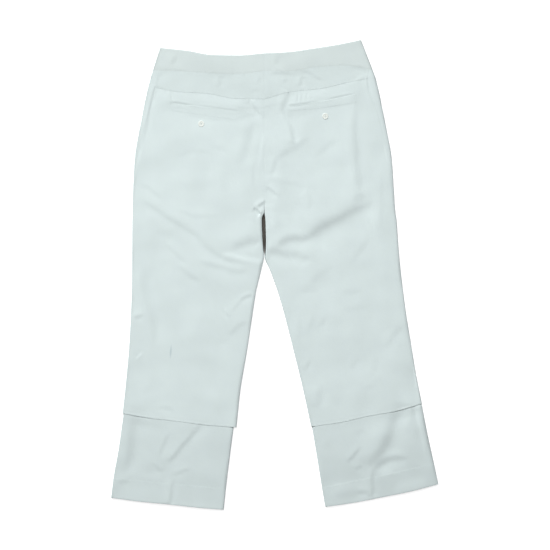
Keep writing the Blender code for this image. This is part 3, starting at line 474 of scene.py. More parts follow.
# The button's section: distance from its middle and height.
BUTTON_PROFILE = (
    (0.0, 0.0), (4.7, 0.0), (5.3, 0.08), (5.6, 0.28), (5.7, 0.55), (5.66, 0.85),
    (5.5, 1.1), (5.2, 1.26), (4.8, 1.32), (4.4, 1.28), (4.0, 1.18), (3.6, 1.08),
    (3.1, 1.02), (2.4, 1.0), (1.2, 1.0), (0.0, 1.0),
)
BUTTON_THICKNESS = 1.32
BUTTON_RECESS = 0.32
BUTTON_SUNK = 0.55            # the thread pulls it into the cloth
BUTTON_HOLE_RADIUS = 0.5
BUTTON_HOLE_OFFSET = 1.25
BUTTON_HOLE_SIDES = 20
BUTTON_SIDES = 72
BUTTON_MERGE = 0.000005       # metres: points closer than this are one
BUTTON_SHARP = math.radians(35.0)
THREAD_RADIUS = 0.26
THREAD_APART = 0.28           # of two strands from the line between the holes
THREAD_PAST = 0.15            # a strand reaches this far past the middle of a hole
THREAD_STANDS = 0.12          # off the button's face
THREAD_SUNK = 0.5             # its ends go down into the hole
THREAD_BENDS = 0.9            # past this share of its length

# ---------------------------------------------------------------- picture, metres
VIEW_WIDTH = 1.0175           # of the floor that the picture shows
VIEW_CENTRE = (0.0005, -0.0003)
CAMERA_HEIGHT = 3.0
SENSOR = 36.0
FLOOR_HALF = 60.0
FLOOR_Z = -0.0003
WORLD_SHADES = ((0.0, 0.25), (0.35, 1.0))    # grey at parts of the way up
WORLD_STRENGTH = 0.23
Light = namedtuple("Light", "name place target size power")
LIGHTS = (
    Light("key", (-2.66, 5.22, 3.8), (0.0, 0.0, 0.0), (4.4, 2.4), 520.0),
    Light("top", (-0.05, 0.05, 1.3), (-0.05, 0.05, 0.0), (1.4, 1.4), 5.4),
)

# ---------------------------------------------------------------- finish
# Tints of the cloth, and the turn of its rib in degrees. The band, yoke and lower leg are the leg's
# cloth, given darker copies of its tint: painted shade. The band's is also a little warmer.
LEG_TINT, LEG_TURN = (0.675, 0.767, 0.763), 27.0
BAND_SHADED_TINT, BAND_TURN = (0.624, 0.702, 0.692), 63.0
YOKE_SHADED_TINT, YOKE_TURN = (0.644, 0.732, 0.726), 38.0
LOWER_SHADED_TINT = (0.65, 0.739, 0.736)


# ---------------------------------------------------------------- curves
def smooth(knots, values, at):
    """Smooth curves through the knots, one for each row of values, never overshooting."""
    knots = np.asarray(knots, dtype=float)
    values = np.atleast_2d(np.asarray(values, dtype=float))
    at = np.atleast_2d(np.asarray(at, dtype=float))
    at = np.broadcast_to(at, (len(values), at.shape[1]))
    steps = np.diff(knots)
    slopes = np.diff(values, axis=1) / steps
    before, after = slopes[:, :-1], slopes[:, 1:]
    total = before + after
    safe = np.where(total == 0.0, 1.0, total)
    middle = np.where(before * after > 0.0, 2 * before * after / safe, 0.0)
    tangents = np.hstack((slopes[:, :1], middle, slopes[:, -1:]))
    index = np.clip(np.searchsorted(knots, at, side="right") - 1, 0, len(steps) - 1)
    step = steps[index]
    part = (at - knots[index]) / step

    def pick(table, where):
        return np.take_along_axis(table, where, axis=1)

    return (
        pick(values, index) * (1 + 2 * part) * (1 - part) ** 2
        + pick(tangents, index) * step * part * (1 - part) ** 2
        + pick(values, index + 1) * part ** 2 * (3 - 2 * part)
        + pick(tangents, index + 1) * step * part ** 2 * (part - 1)
    )


def ease(value):
    """Smooth step from 0 to 1."""
    value = np.clip(value, 0.0, 1.0)
    return value * value * (3 - 2 * value)


def stations(rows):
    """Distance of each row down the middle of the side."""
    middles = [row.y[2] for row in rows]
    return np.concatenate(([0.0], np.cumsum(-np.diff(middles))))


def station_of(rows, name):
    """Station of the row with this name."""
    return float(stations(rows)[[row.name for row in rows].index(name)])


def rows_at(rows, station):
    """The rows between the table's rows at these stations, as one Row of arrays."""
    knots = stations(rows)

    def column(values):
        return smooth(knots, values, station)[0]

    return Row(
        name="between",
        y=np.stack([column([row.y[k] for row in rows]) for k in range(5)], axis=1),
        x_out=column([row.x_out for row in rows]),
        x_in=column([row.x_in for row in rows]),
        front_in=column([row.front_in for row in rows]),
        wrap=column([row.wrap for row in rows]),
        height=column([row.height for row in rows]),
    )


def seam_curve(rows, inward):
    """The side seam as the front comes over the edge: knots of -y, and x at them."""
    knots, across = [], []
    for row in rows:
        part = row.wrap / abs(row.x_in - row.x_out)
        knots.append(-float(smooth(QUARTERS, row.y, [part])[0, 0]))
        across.append(row.x_out + inward * row.wrap)
    return knots, across


WRAP_GUESS = 8.0
WRAP_ROUNDS = 4


def edges_at(rows, inward, y, dy):
    """Outer, inner and front's inner edge, and the wrap, of rows of heights moved by dy."""
    outer_knots = [-row.y[0] for row in rows]
    inner_knots = [-row.y[4] for row in rows]
    y_out = np.clip(-y[:, 0] - dy, outer_knots[0], outer_knots[-1])
    y_in = np.clip(-y[:, 4] - dy, inner_knots[0], inner_knots[-1])
    x_out = smooth(outer_knots, [row.x_out for row in rows], y_out)[0]
    inner = [[row.x_in for row in rows], [row.front_in for row in rows]]
    x_in, front_in = smooth(inner_knots, inner, y_in)
    knots, across = seam_curve(rows, inward)
    wrap = np.full(len(y), WRAP_GUESS)
    for _ in range(WRAP_ROUNDS):
        part = np.clip(wrap / np.abs(x_in - x_out), 0.0, 1.0)
        y_seam = smooth(QUARTERS, y, part[:, None])[:, 0] + dy
        y_seam = np.clip(-y_seam, knots[0], knots[-1])
        wrap = np.maximum(inward * (smooth(knots, across, y_seam)[0] - x_out), 0.0)
    return x_out, x_in, front_in, wrap


# The nose of a folded edge: how far in it reaches, its length along the section, and the
# angle round it against the length along it.
Nose = namedtuple("Nose", "roll length lengths angles")


def make_nose(roll):
    """A nose that is an ellipse, this far in and half as high as the edge is thick."""
    angles = np.linspace(0.0, math.pi / 2, NOSE_SAMPLES)
    across = roll * np.cos(angles)
    up = EDGE_Z * np.sin(angles)
    lengths = np.concatenate(([0.0], np.cumsum(np.hypot(np.diff(across), np.diff(up)))))
    return Nose(roll, float(lengths[-1]), lengths, angles)


SOFT_NOSE = make_nose(ROLL)
SHARP_NOSE = make_nose(SHARP_ROLL)


def along_nose(nose, length):
    """Distance in from the nose, sine and cosine at lengths along the section."""
    angle = np.interp(length, nose.lengths, nose.angles)
    past = np.maximum(length - nose.length, 0.0)
    return nose.roll * (1 - np.cos(angle)) + past, np.sin(angle), np.cos(angle)


# ---------------------------------------------------------------- folds
def crease_line(points):
    """Closely spaced points on a smooth curve through a crease's points."""
    points = np.array(points, dtype=float)
    chords = np.hypot(*np.diff(points, axis=0).T)
    knots = np.concatenate(([0.0], np.cumsum(chords)))
    at = np.linspace(0.0, knots[-1], CREASE_SAMPLES)
    if len(points) == 2:
        return np.stack([np.interp(at, knots, points[:, k]) for k in (0, 1)], axis=1)
    return smooth(knots, points.T, at).T


def crease_rise(crease, x, y, pressed):
    """What one crease adds to the height at these places. Where it is pressed, from 0 to 1,
    its high side stays level and the low side sinks by all of the step."""
    line = crease_line(crease.points)
    reach = CREASE_MARGIN * max(crease.above, crease.below)
    low, high = line.min(axis=0) - reach, line.max(axis=0) + reach
    near = (x > low[0]) & (x < high[0]) & (y > low[1]) & (y < high[1])
    rise = np.zeros_like(x)
    if not near.any():
        return rise
    place = np.stack((x[near], y[near]), axis=1)
    steps = np.diff(line, axis=0)
    squares = (steps ** 2).sum(axis=1)
    from_start = place[:, None, :] - line[None, :-1, :]
    part = np.clip((from_start * steps).sum(axis=2) / squares, 0.0, 1.0)
    away = from_start - part[:, :, None] * steps
    distance = (away ** 2).sum(axis=2)
    nearest = distance.argmin(axis=1)
    pick = np.arange(len(nearest))
    away = away[pick, nearest]
    step = steps[nearest]
    along = (nearest + part[pick, nearest]) / len(steps)
    cross = step[:, 0] * away[:, 1] - step[:, 1] * away[:, 0]
    offset = cross / np.sqrt(squares[nearest])
    beyond = np.maximum(distance[pick, nearest] - offset ** 2, 0.0)
    strength = ease(along / crease.start) * ease((1 - along) / crease.finish)
    width = crease.width * (CREASE_TIP + (1 - CREASE_TIP) * strength)
    reach = np.where(offset > 0.0, crease.above, crease.below)
    fade = np.exp(-(offset ** 2 + CREASE_END * beyond) / reach ** 2)
    level = np.sign(crease.rise) * pressed[near]
    rise[near] = crease.rise / 2 * strength * (np.tanh(offset / width) - level) * fade
    return rise


def make_waves():
    """Direction, length, height and phase of the waves of the soft unevenness."""
    draw = np.random.default_rng(WAVE_SEED)
    lengths = np.geomspace(*WAVE_LENGTHS, WAVE_COUNT)
    turns = draw.uniform(0.0, math.pi, WAVE_COUNT)
    phases = draw.uniform(0.0, 2 * math.pi, WAVE_COUNT)
    return tuple(zip(lengths, turns, phases))


WAVES = make_waves()


def bend(values, others, bends):
    """One coordinate, bent along the other."""
    for size, reach, phase in bends:
        values = values + size * np.sin(others / reach + phase)
    return values


def unevenness(x, y):
    """Soft waves, bent so that none runs straight."""
    bent_x, bent_y = bend(x, y, X_BENDS), bend(y, x, Y_BENDS)
    total = np.zeros_like(x)
    for length, turn, phase in WAVES:
        place = bent_x * math.cos(turn) + bent_y * math.sin(turn)
        total += WAVE_HEIGHT * length * np.sin(2 * math.pi * place / length + phase)
    return total


def fold_rise(creases, x, y, pressed):
    """Height that the creases add at these places."""
    total = np.zeros_like(x)
    for crease in creases:
        total += crease_rise(crease, x, y, pressed)
    return total


def row_heights(row, part):
    """Heights of a row at these parts of its width."""
    return smooth(QUARTERS, np.broadcast_to(np.array(row.y), (len(part), 5)), part)


def under_lap(panel, y, part):
    """How far the lap presses the folds of the lower leg, and the share that they keep."""
    if panel.upper and panel.rows[0].name == "lap":
        below = row_heights(panel.rows[0], part) - y
        kept = LAP_KEPT + (1 - LAP_KEPT) * ease(below / LAP_FADE)
        return 1 - ease(below / LAP_PRESS), kept
    return np.zeros_like(y), np.ones_like(y)


def through_lap(panel, x, y, place, width):
    """The folds of the lower leg, as far as they show through the lap that lies on them."""
    if panel.upper and panel.rows[-1].name == "lap":
        above = y - row_heights(panel.rows[-1], place / width)
        from_edge = np.minimum(place, width - place) - LAP_INSET - FOLD_EDGE
        share = LAP_SHOWN * ease(1 - above / LAP_FOLLOW) * ease(from_edge / LAP_EDGE_FADE)
        return fold_rise(LOWER_CREASES, x, y, np.ones_like(x)) * share
    return np.zeros_like(x)


def pressed_by_lap(panel, x, y, part):
    """How far the folds of the lap press down the strip that is tucked under it."""
    if panel.upper and panel.rows[0].name == "lap":
        below = row_heights(panel.rows[0], part) - y
        sunk = np.minimum(fold_rise(UPPER_CREASES, x, y, np.zeros_like(x)), 0.0)
        return sunk * ease(1 - below / TUCK_FOLLOW)
    return np.zeros_like(x)


def pucker_rise(panel, x, y, part):
    """Small puckers along the sewn rows that the panel names."""
    total = np.zeros_like(x)
    wave = sum(np.sin(2 * math.pi * x / length + PUCKER_PHASE * length)
               for length in PUCKER_LENGTHS)
    for row in panel.rows:
        if row.name in panel.puckers:
            away = y - row_heights(row, part)
            total += PUCKER_HEIGHT * wave * np.exp(-((away / PUCKER_REACH) ** 2))
    return total


def ditch(distance, size):
    """How far the cloth sinks beside a seam."""
    depth, width = size
    return depth * np.exp(-((distance / width) ** 2))


# ---------------------------------------------------------------- cloth panels
# A cut is one mesh row: a station down the side, moved along Y by dy. drop lowers both
# faces, raised lifts the outer one, turn lowers the outer one at a folded edge, inset
# narrows the row, and roll_out and roll_in say how far each edge is rolled over.
Cut = namedtuple("Cut", "station dy drop raised turn inset roll_out roll_in")
Panel = namedtuple("Panel", "name side rows upper cloth wraps creases puckers spacing slot finish")


def cut_at(station, dy=0.0, drop=0.0, raised=0.0, inset=0.0, roll=1.0, roll_in=0.0, turn=0.0):
    """One cut, plain unless it says otherwise."""
    return Cut(station, dy, drop, raised, turn, inset, roll, roll_in)


def folded_edge(station, inward, cloth, raised=0.0, roll_in=0.0, drop=0.0, reach=EDGE_REACH):
    """Cuts of a folded edge, from inside the panel to the edge itself. inward is the
    sign of Y that points into the panel."""
    cuts = []
    for distance in EDGE_STEPS:
        part = max(0.0, 1 - distance / reach)
        turn = (1 - math.sqrt(1 - part * part)) * EDGE_TURN * (cloth + raised)
        cuts.append(cut_at(station, inward * distance, drop, raised, roll_in=roll_in, turn=turn))
    return cuts


def refine(cuts, spacing):
    """Evenly spaced cuts between the given ones, as one Cut of arrays. Of two spacings,
    the first is for the seat, with its fine folds, and the second for the leg."""
    seat, leg = spacing if isinstance(spacing, tuple) else (spacing, spacing)
    filled = []
    for cut, following in zip(cuts, cuts[1:]):
        here, there = np.array(cut), np.array(following)
        reach = abs((following.station - following.dy) - (cut.station - cut.dy))
        steps = max(1, math.ceil(reach / (seat if following.station < SEAT_LENGTH else leg)))
        filled += [here + (there - here) * k / steps for k in range(steps)]
    filled.append(np.array(cuts[-1]))
    return Cut(*np.array(filled).T)


def inner_roll(rows, upper, station):
    """How far the inner edge is rolled over: not at all on the seat, fully on the leg."""
    start = FORK_TOP_Y if upper else FORK_TOP_Y - 3 * FORK_LENGTH
    return ease((start - rows_at(rows, station).y[:, 4]) / FORK_LENGTH)


Grid = namedtuple("Grid", "outer inner")


def panel_grid(panel, cuts):
    """Outer and inner points of a panel, in millimetres."""
    row = rows_at(panel.rows, cuts.station)
    inward = panel.side.inward
    x_out, x_in, front_in, wrap = edges_at(panel.rows, inward, row.y, cuts.dy)
    wrap = wrap[:, None] * panel.wraps
    x_in = x_in if panel.upper else front_in
    x_out = (x_out + inward * cuts.inset)[:, None]
    x_in = (x_in - inward * (SEAM_GAP / 2 + cuts.inset))[:, None]
    width = np.abs(x_in - x_out)
    nose_out, nose_in = SHARP_NOSE, SOFT_NOSE
    beside_out, beside_in = EDGE_SWELL, EDGE_SAG
    if inward < 0:
        nose_out, nose_in = nose_in, nose_out
        beside_out, beside_in = beside_in, beside_out

    parts = np.linspace(0.0, 1.0, OUT_COLUMNS)[None, :]
    if panel.upper:
        start = wrap + SEAM_GAP / 2
        lengths = start + nose_out.length * parts
    else:
        start = wrap - SEAM_GAP / 2
        lengths = start + (-nose_out.length - start) * parts
    from_side = np.abs(lengths - start)
    on_top = np.full(lengths.shape, panel.upper) | (lengths > 0.0)
    distance, sine, cosine = along_nose(nose_out, np.abs(lengths))

    flat_count = int(width.max() / panel.spacing)
    share = np.arange(1, flat_count + 1)[None, :] / (flat_count + 1)
    last = distance[:, -1:]
    flat = last + (width - nose_in.roll - last) * share

    in_lengths = nose_in.length * np.array(IN_PARTS)[None, :].repeat(len(width), axis=0)
    in_distance, in_sine, in_cosine = along_nose(nose_in, in_lengths)

    ones = np.ones_like(flat)
    in_ones = np.ones_like(in_distance)
    place = np.hstack((distance, flat, width - in_distance))
    sine = np.hstack((sine, ones, in_sine))
    cosine = np.hstack((cosine, 0 * ones, in_cosine))
    flat_top, in_top = np.full(flat.shape, panel.upper), np.full(in_ones.shape, panel.upper)
    on_top = np.hstack((on_top, flat_top, in_top))
    roll_out, roll_in = cuts.roll_out[:, None], cuts.roll_in[:, None]
    roll = np.hstack((roll_out * np.ones_like(distance), roll_out * ones, roll_in * in_ones))
    step_in = roll * panel.cloth * cosine
    step_in[:, -in_lengths.shape[1]:] *= -1
    side_distance = np.hstack((from_side, np.inf * ones, np.inf * in_ones))

    def y_at(where):
        return smooth(QUARTERS, row.y, where / width) + cuts.dy[:, None]

    x = x_out + inward * place
    y = y_at(place)
    keep = ease((place - wrap) / FOLD_EDGE)
    keep = keep * (1 - roll_in * (1 - ease((width - place) / FOLD_EDGE)))
    pressed, kept = under_lap(panel, y, place / width)
    folds = fold_rise(panel.creases, x, y, pressed) * kept
    folds = folds + through_lap(panel, x, y, place, width)
    folds = folds + unevenness(x, y) + pucker_rise(panel, x, y, place / width)
    if panel.upper:
        sink = ditch(side_distance, SIDE_DITCH) * ease(wrap / DITCH_WRAP)
        sink = sink + ditch(width - place, CENTRE_DITCH) * (1 - roll_in)
        sink = sink + ditch(place, beside_out) * roll_out
        sink = sink + ditch(width - place, beside_in) * roll_in
    else:
        sink = ditch(side_distance, SIDE_DITCH) * ease(wrap / DITCH_WRAP)
        sink = (sink + ditch(place, beside_out)) * on_top
        folds = np.maximum(folds - (1 - FRONT_WAVES) * unevenness(x, y), 0)
    beside = fold_rise(SEAM_CREASES, x, y, pressed) * panel.wraps
    top = row.height[:, None] + keep * folds + ease(place / SEAM_FADE) * beside
    top = top + pressed_by_lap(panel, x, y, place / width)
    top = LOWEST_TOP + np.logaddexp(0.0, (top - LOWEST_TOP) * LOWEST_BEND) / LOWEST_BEND
    top = top - cuts.drop[:, None] - sink
    outer_top = top + (cuts.raised - cuts.turn)[:, None]
    z_top = outer_top - roll * (outer_top - EDGE_Z) * (1 - sine)
    under = top - panel.cloth
    z_under = under - roll * (under - EDGE_Z) * (1 - sine)
    z_under = np.where(cosine > 0.0, np.maximum(z_under, EDGE_Z + SEAM_GAP / 2), z_under)

    lifted = keep * folds if not panel.upper else 0.0
    z_rest = lifted * sine + roll * EDGE_Z * (1 - sine)
    over = panel.cloth + cuts.raised[:, None] + lifted
    z_over = np.minimum(over + roll * (EDGE_Z - over) * (1 - sine), EDGE_Z - SEAM_GAP / 2)

    inner_place = place + step_in
    outer = np.stack((x, y, np.where(on_top, z_top, z_rest)), axis=2)
    inner_z = np.where(on_top, z_under, z_over)
    inner = np.stack((x_out + inward * inner_place, y_at(inner_place), inner_z), axis=2)
    return Grid(outer, inner)


def grid_faces(rows, columns, first, flip):
    """Quads of one grid of points, numbered from first."""
    number = first + np.arange(rows * columns).reshape(rows, columns)
    quads = np.stack((number[:-1, :-1], number[1:, :-1], number[1:, 1:], number[:-1, 1:]), axis=2)
    quads = quads.reshape(-1, 4)
    return quads[:, ::-1] if flip else quads


def rim_faces(rows, columns, flip):
    """Quads that join the rims of the outer and the inner grid."""
    outer = np.arange(rows * columns).reshape(rows, columns)
    inner = outer + rows * columns
    loop = np.concatenate((outer[:, 0], outer[-1, 1:], outer[-2::-1, -1], outer[0, -2:0:-1]))
    under = loop + (inner[0, 0] - outer[0, 0])
    quads = np.stack((loop, under, np.roll(under, -1), np.roll(loop, -1)), axis=1)
    return quads[:, ::-1] if flip else quads


def build_mesh(name, points, faces):
    """Smooth mesh of these points, in metres, and faces."""
    mesh = bpy.data.meshes.new(name)
    mesh.from_pydata(points, [], faces)
    mesh.update()
    mesh.shade_smooth()
    return mesh


def place_object(name, data):
    """Object of the scene that shows this data."""
    made = bpy.data.objects.new(name, data)
    bpy.context.scene.collection.objects.link(made)
    return made


def add_piece(name, mesh, material, slot, node=None):
    """Piece of the garment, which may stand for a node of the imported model."""
    mesh.materials.append(material)
    piece = place_object(name, mesh)
    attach(piece, "root")
    if node:
        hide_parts(node)
    return piece


def grid_size(grid):
    """Width, length and area of a grid's outer face as cut flat, in metres."""
    outer = grid.outer
    across = np.linalg.norm(np.diff(outer, axis=1), axis=2).sum(axis=1).max()
    down = np.linalg.norm(np.diff(outer, axis=0), axis=2).sum(axis=0).max()
    twice = np.cross(outer[1:, 1:] - outer[:-1, :-1], outer[:-1, 1:] - outer[1:, :-1])
    area = np.linalg.norm(twice, axis=2).sum() / 2
    return across * MM, down * MM, area * MM * MM


Made = namedtuple("Made", "piece grid tree")


def make_sheet(node, grid, flip, material, slot):
    """Closed sheet between two grids of points, which stands for a node. Its tree finds
    the outer face under a place."""
    rows, columns = grid.outer.shape[:2]
    points = np.concatenate((grid.outer.reshape(-1, 3), grid.inner.reshape(-1, 3))) * MM
    face = grid_faces(rows, columns, 0, flip)
    under = grid_faces(rows, columns, rows * columns, not flip)
    faces = np.concatenate((face, under, rim_faces(rows, columns, flip)))
    mesh = build_mesh(f"cloth_{node}", points.tolist(), faces.tolist())
    mesh.set_sharp_from_angle(angle=CLOTH_SHARP)
    piece = add_piece(f"cloth_{node}", mesh, material, slot, node)
    tree = BVHTree.FromPolygons(points[:rows * columns].tolist(), face.tolist())
    return Made(piece, grid, tree)


def make_panel(panel, cuts, materials):
    """One cloth piece that stands for the solid of the same name."""
    if isinstance(cuts, list):
        cuts = refine(cuts, panel.spacing)
    flip = (panel.side.inward > 0) != panel.upper
    return make_sheet(panel.name, panel_grid(panel, cuts), flip, materials[panel.finish], panel.slot)


# ---------------------------------------------------------------- the panels
# Each gives its panels with their cuts, whose dy is how far above a table row they lie.
def waistband(side):
    """Back and front band, each with a folded top edge."""
    top = station_of(side.upper, "waist_top")
    seam = station_of(side.upper, "waist_seam")
    cuts = folded_edge(top, -1.0, BAND_CLOTH, reach=HEM_REACH)[::-1] + [
        cut_at(seam, 8.0),
        cut_at(seam, 3.0, raised=SEAM_RIDGE),
        cut_at(seam, 1.2, raised=SEAM_RIDGE * 0.9),
        cut_at(seam, SEAM_GAP, raised=SEAM_RIDGE * 0.6),
    ]
    for face, upper, creases, spacing in (
        ("back", True, UPPER_CREASES, BACK_SPACING),
        ("front", False, FRONT_CREASES, FRONT_SPACING),
    ):
        yield Panel(f"waistband_{face}_{side.name}", side, side.upper, upper, BAND_CLOTH, False,
                    creases, ("waist_seam",), spacing, "waistband", "twill_band"), cuts


def yoke(side):
    """Back yoke, whose folded lower edge lies over the leg panel."""
    top = station_of(side.upper, "waist_seam")
    cuts = [
        cut_at(top, -SEAM_GAP, raised=SEAM_RIDGE * 0.55),
        cut_at(top, -3.0, raised=SEAM_RIDGE * 0.3),
        cut_at(top, -9.0),
    ] + folded_edge(station_of(side.upper, "yoke_seam"), 1.0, YOKE_CLOTH)
    yield Panel(f"yoke_back_{side.name}", side, side.upper, True, YOKE_CLOTH, True, UPPER_CREASES,
                ("waist_seam", "yoke_seam"), YOKE_SPACING, "twill", "twill_yoke"), cuts


def leg_back(side):
    """Seat and leg of the back, from under the yoke to the folded edge of the lap."""
    rows = side.upper
    seam = station_of(rows, "yoke_seam")
    lap = station_of(rows, "lap")
    lapped = YOKE_CLOTH + LAP_GAP
    cuts = [
        cut_at(seam, YOKE_LAP, lapped),
        cut_at(seam, 0.4, lapped),
        cut_at(seam, -0.6, lapped),
        cut_at(seam, -4.0, lapped * 0.9),
        cut_at(seam, -10.0, lapped * 0.7),
        cut_at(seam + BELOW_YOKE, 0.0, lapped * 0.4),
        cut_at(station_of(rows, "crotch") + BELOW_YOKE),
        cut_at(lap - 4 * LAP_HEM),
        cut_at(lap, LAP_HEM + 1.0),
        cut_at(lap, LAP_HEM, raised=LAP_HEM_RAISE * 0.3),
        cut_at(lap, 4.5, raised=LAP_HEM_RAISE * 0.3),
        cut_at(lap, 1.6, raised=LAP_HEM_RAISE),
    ] + folded_edge(lap, 1.0, LEG_CLOTH, raised=LAP_HEM_RAISE)[2:]
    cuts = refine(cuts, BACK_ROWS)
    cuts = cuts._replace(roll_in=inner_roll(rows, True, cuts.station))
    yield Panel(f"leg_back_{side.name}", side, rows, True, LEG_CLOTH, True, UPPER_CREASES,
                ("yoke_seam", "lap"), BACK_SPACING, "twill", f"twill_leg_{side.name}"), cuts


def leg_front(side):
    """Front leg panel on the resting side, which comes over the hip."""
    rows = side.upper
    cuts = refine([cut_at(station_of(rows, "waist_seam"), -SEAM_GAP),
                   cut_at(station_of(rows, "lap"), SEAM_GAP)], FRONT_ROWS)
    cuts = cuts._replace(roll_in=inner_roll(rows, False, cuts.station))
    yield Panel(f"leg_front_{side.name}", side, rows, False, CLOTH, True, FRONT_CREASES, (),
                FRONT_SPACING, "twill", "twill_front"), cuts


def lower_back(side):
    """Lower back panel: a strip tucked under the lap, then the ankle and its hem."""
    lap, hem, edge = (station_of(side.lower, name) for name in ("lap", "hem_seam", "hem_edge"))
    tucked = LEG_CLOTH + LAP_GAP
    cuts = [
        cut_at(lap, KNEE_LAP, tucked, inset=LAP_INSET, roll=0.0),
        cut_at(lap, 0.6, tucked, inset=LAP_INSET, roll=0.0),
        cut_at(lap, -0.6, tucked, inset=LAP_INSET * 0.4, roll=0.4, roll_in=0.4),
        cut_at(lap, -2.5, tucked * 0.8, roll=0.8, roll_in=0.8),
        cut_at(lap, -9.0, tucked * 0.45, roll_in=1.0),
        cut_at(lap + 20.0, 0.0, tucked * 0.1, roll_in=1.0),
        cut_at(lap + 32.0, roll_in=1.0),
        cut_at(hem, 1.4, roll_in=1.0),
        cut_at(hem, 0.0, drop=0.02, roll_in=1.0),
        cut_at(hem, -1.2, raised=HEM_RAISE, roll_in=1.0),
        cut_at(hem + 4.0, raised=HEM_RAISE, roll_in=1.0),
        cut_at(edge - 5.0, raised=HEM_RAISE, roll_in=1.0),
    ] + folded_edge(edge, 1.0, CLOTH, HEM_RAISE, roll_in=1.0, reach=HEM_REACH)
    yield Panel(f"lower_back_{side.name}", side, side.lower, True, CLOTH, True, LOWER_CREASES,
                ("lap", "hem_seam"), LOWER_SPACING, "twill", "twill_lower"), cuts


def lower_front(side):
    """Lower front panel, edge to edge with the leg panel on the resting side."""
    lap, hem, edge = (station_of(side.lower, name) for name in ("lap", "hem_seam", "hem_edge"))
    cuts = [
        cut_at(lap, -SEAM_GAP, roll_in=1.0),
        cut_at(hem, 1.0, roll_in=1.0),
        cut_at(hem, -1.0, raised=HEM_RAISE, roll_in=1.0),
        cut_at(edge - 4.0, raised=HEM_RAISE, roll_in=1.0),
        cut_at(edge, raised=HEM_RAISE, roll_in=1.0),
    ]
    yield Panel(f"lower_front_{side.name}", side, side.lower, False, CLOTH, True, FRONT_CREASES,
                ("hem_seam",), FRONT_SPACING, "twill", "twill_leg_right"), cuts


# ---------------------------------------------------------------- pockets
def surface_point(tree, x, y, above=True):
    """Place and normal of a panel's face under or over x, y."""
    start = Vector((x * MM, y * MM, RAY_TOP if above else RAY_BOTTOM))
    place, normal = tree.ray_cast(start, Vector((0.0, 0.0, -1.0 if above else 1.0)))[:2]
    if place is None:
        return None
    if (normal.z > 0.0) != above:
        normal = -normal
    return place, normal


def welt_mouth(welt, part):
    """Places along the mouth of the pocket, from its outer end to its inner, and the
    depth of the welt there."""
    ends = np.array((welt.outer, welt.middle, welt.inner))
    depth = welt.depth_outer + (welt.depth_inner - welt.depth_outer) * part
    return smooth((0.0, 0.5, 1.0), ends.T, part), depth


def pocket_welt(side, welt, panel, materials):
    """Welt strip: a folded mouth, and a lower edge that is sewn down."""
    part = np.linspace(0.0, 1.0, WELT_COLUMNS)
    mouth, depth = welt_mouth(welt, part)
    outer = np.zeros((len(WELT_PROFILE), WELT_COLUMNS, 3))
    inner = np.zeros_like(outer)
    end = np.clip(np.minimum(part, 1 - part) * WELT_LENGTH / WELT_END, 0, 1)
    at_end = WELT_END_SHARE + (1 - WELT_END_SHARE) * np.sqrt(np.clip(1 - (1 - end) ** 2, 0, 1))
    for r, (down, stand) in enumerate(WELT_PROFILE):
        x, y = mouth[0], mouth[1] - down * depth
        for c in range(WELT_COLUMNS):
            base = surface_point(panel.tree, x[c], y[c])[0].z / MM
            outer[r, c] = (x[c], y[c], base + WELT_LIFT + WELT_THICK * stand * at_end[c])
            inner[r, c] = (x[c], y[c], base + WELT_UNDER)
    return make_sheet(f"pocket_welt_{side.name}", Grid(outer, inner), side.inward < 0,
                      materials["twill_leg_right"], "twill")


def mesh_of(name, shape):
    """Mesh of a bmesh, which is freed."""
    mesh = bpy.data.meshes.new(name)
    shape.to_mesh(mesh)
    shape.free()
    return mesh


def pocket_button(side, welt, panel, materials):
    """Turned button with a dished face, four holes and crossed thread."""
    name = f"button_face_{side.name}"
    shape = bmesh.new()
    ring = [shape.verts.new((radius * MM, 0.0, height * MM)) for radius, height in BUTTON_PROFILE]
    edges = [shape.edges.new(pair) for pair in zip(ring, ring[1:])]
    bmesh.ops.spin(shape, geom=ring + edges, axis=(0, 0, 1), cent=(0, 0, 0),
                   angle=2 * math.pi, steps=BUTTON_SIDES, use_merge=True)
    bmesh.ops.remove_doubles(shape, verts=shape.verts, dist=BUTTON_MERGE)
    bmesh.ops.recalc_face_normals(shape, faces=shape.faces)
    button = place_object(name, mesh_of(name, shape))
    cutter = hole_cutter()
    cut = button.modifiers.new("holes", "BOOLEAN")
    cut.operation = "DIFFERENCE"
    cut.solver = "EXACT"
    cut.object = cutter
    bpy.context.view_layer.update()
    evaluated = button.evaluated_get(bpy.context.evaluated_depsgraph_get())
    final = bpy.data.meshes.new_from_object(evaluated)
    bpy.data.objects.remove(button)
    bpy.data.objects.remove(cutter)
    x, y = welt.button
    low = surface_point(panel.tree, x, y)[0].z - BUTTON_SUNK * MM
    for vertex in final.vertices:
        vertex.co += Vector((x * MM, y * MM, low))
    final.shade_smooth()
    final.set_sharp_from_angle(angle=BUTTON_SHARP)
    final.materials.clear()
    return add_piece(name, final, materials["button"], "button", f"button_{side.name}")


def hole_cutter():
    """The four thread holes as one cutter."""
    shape = bmesh.new()
    radius, reach = BUTTON_HOLE_RADIUS * MM, BUTTON_HOLE_OFFSET * MM
    for k in range(4):
        angle = math.pi / 4 + k * math.pi / 2
        made = bmesh.ops.create_cone(shape, cap_ends=True, segments=BUTTON_HOLE_SIDES,
                                     depth=4 * BUTTON_THICKNESS * MM, radius1=radius, radius2=radius)
        bmesh.ops.translate(shape, verts=made["verts"],
                            vec=(reach * math.cos(angle), reach * math.sin(angle), 0.0))
    return place_object("hole_cutter", mesh_of("hole_cutter", shape))


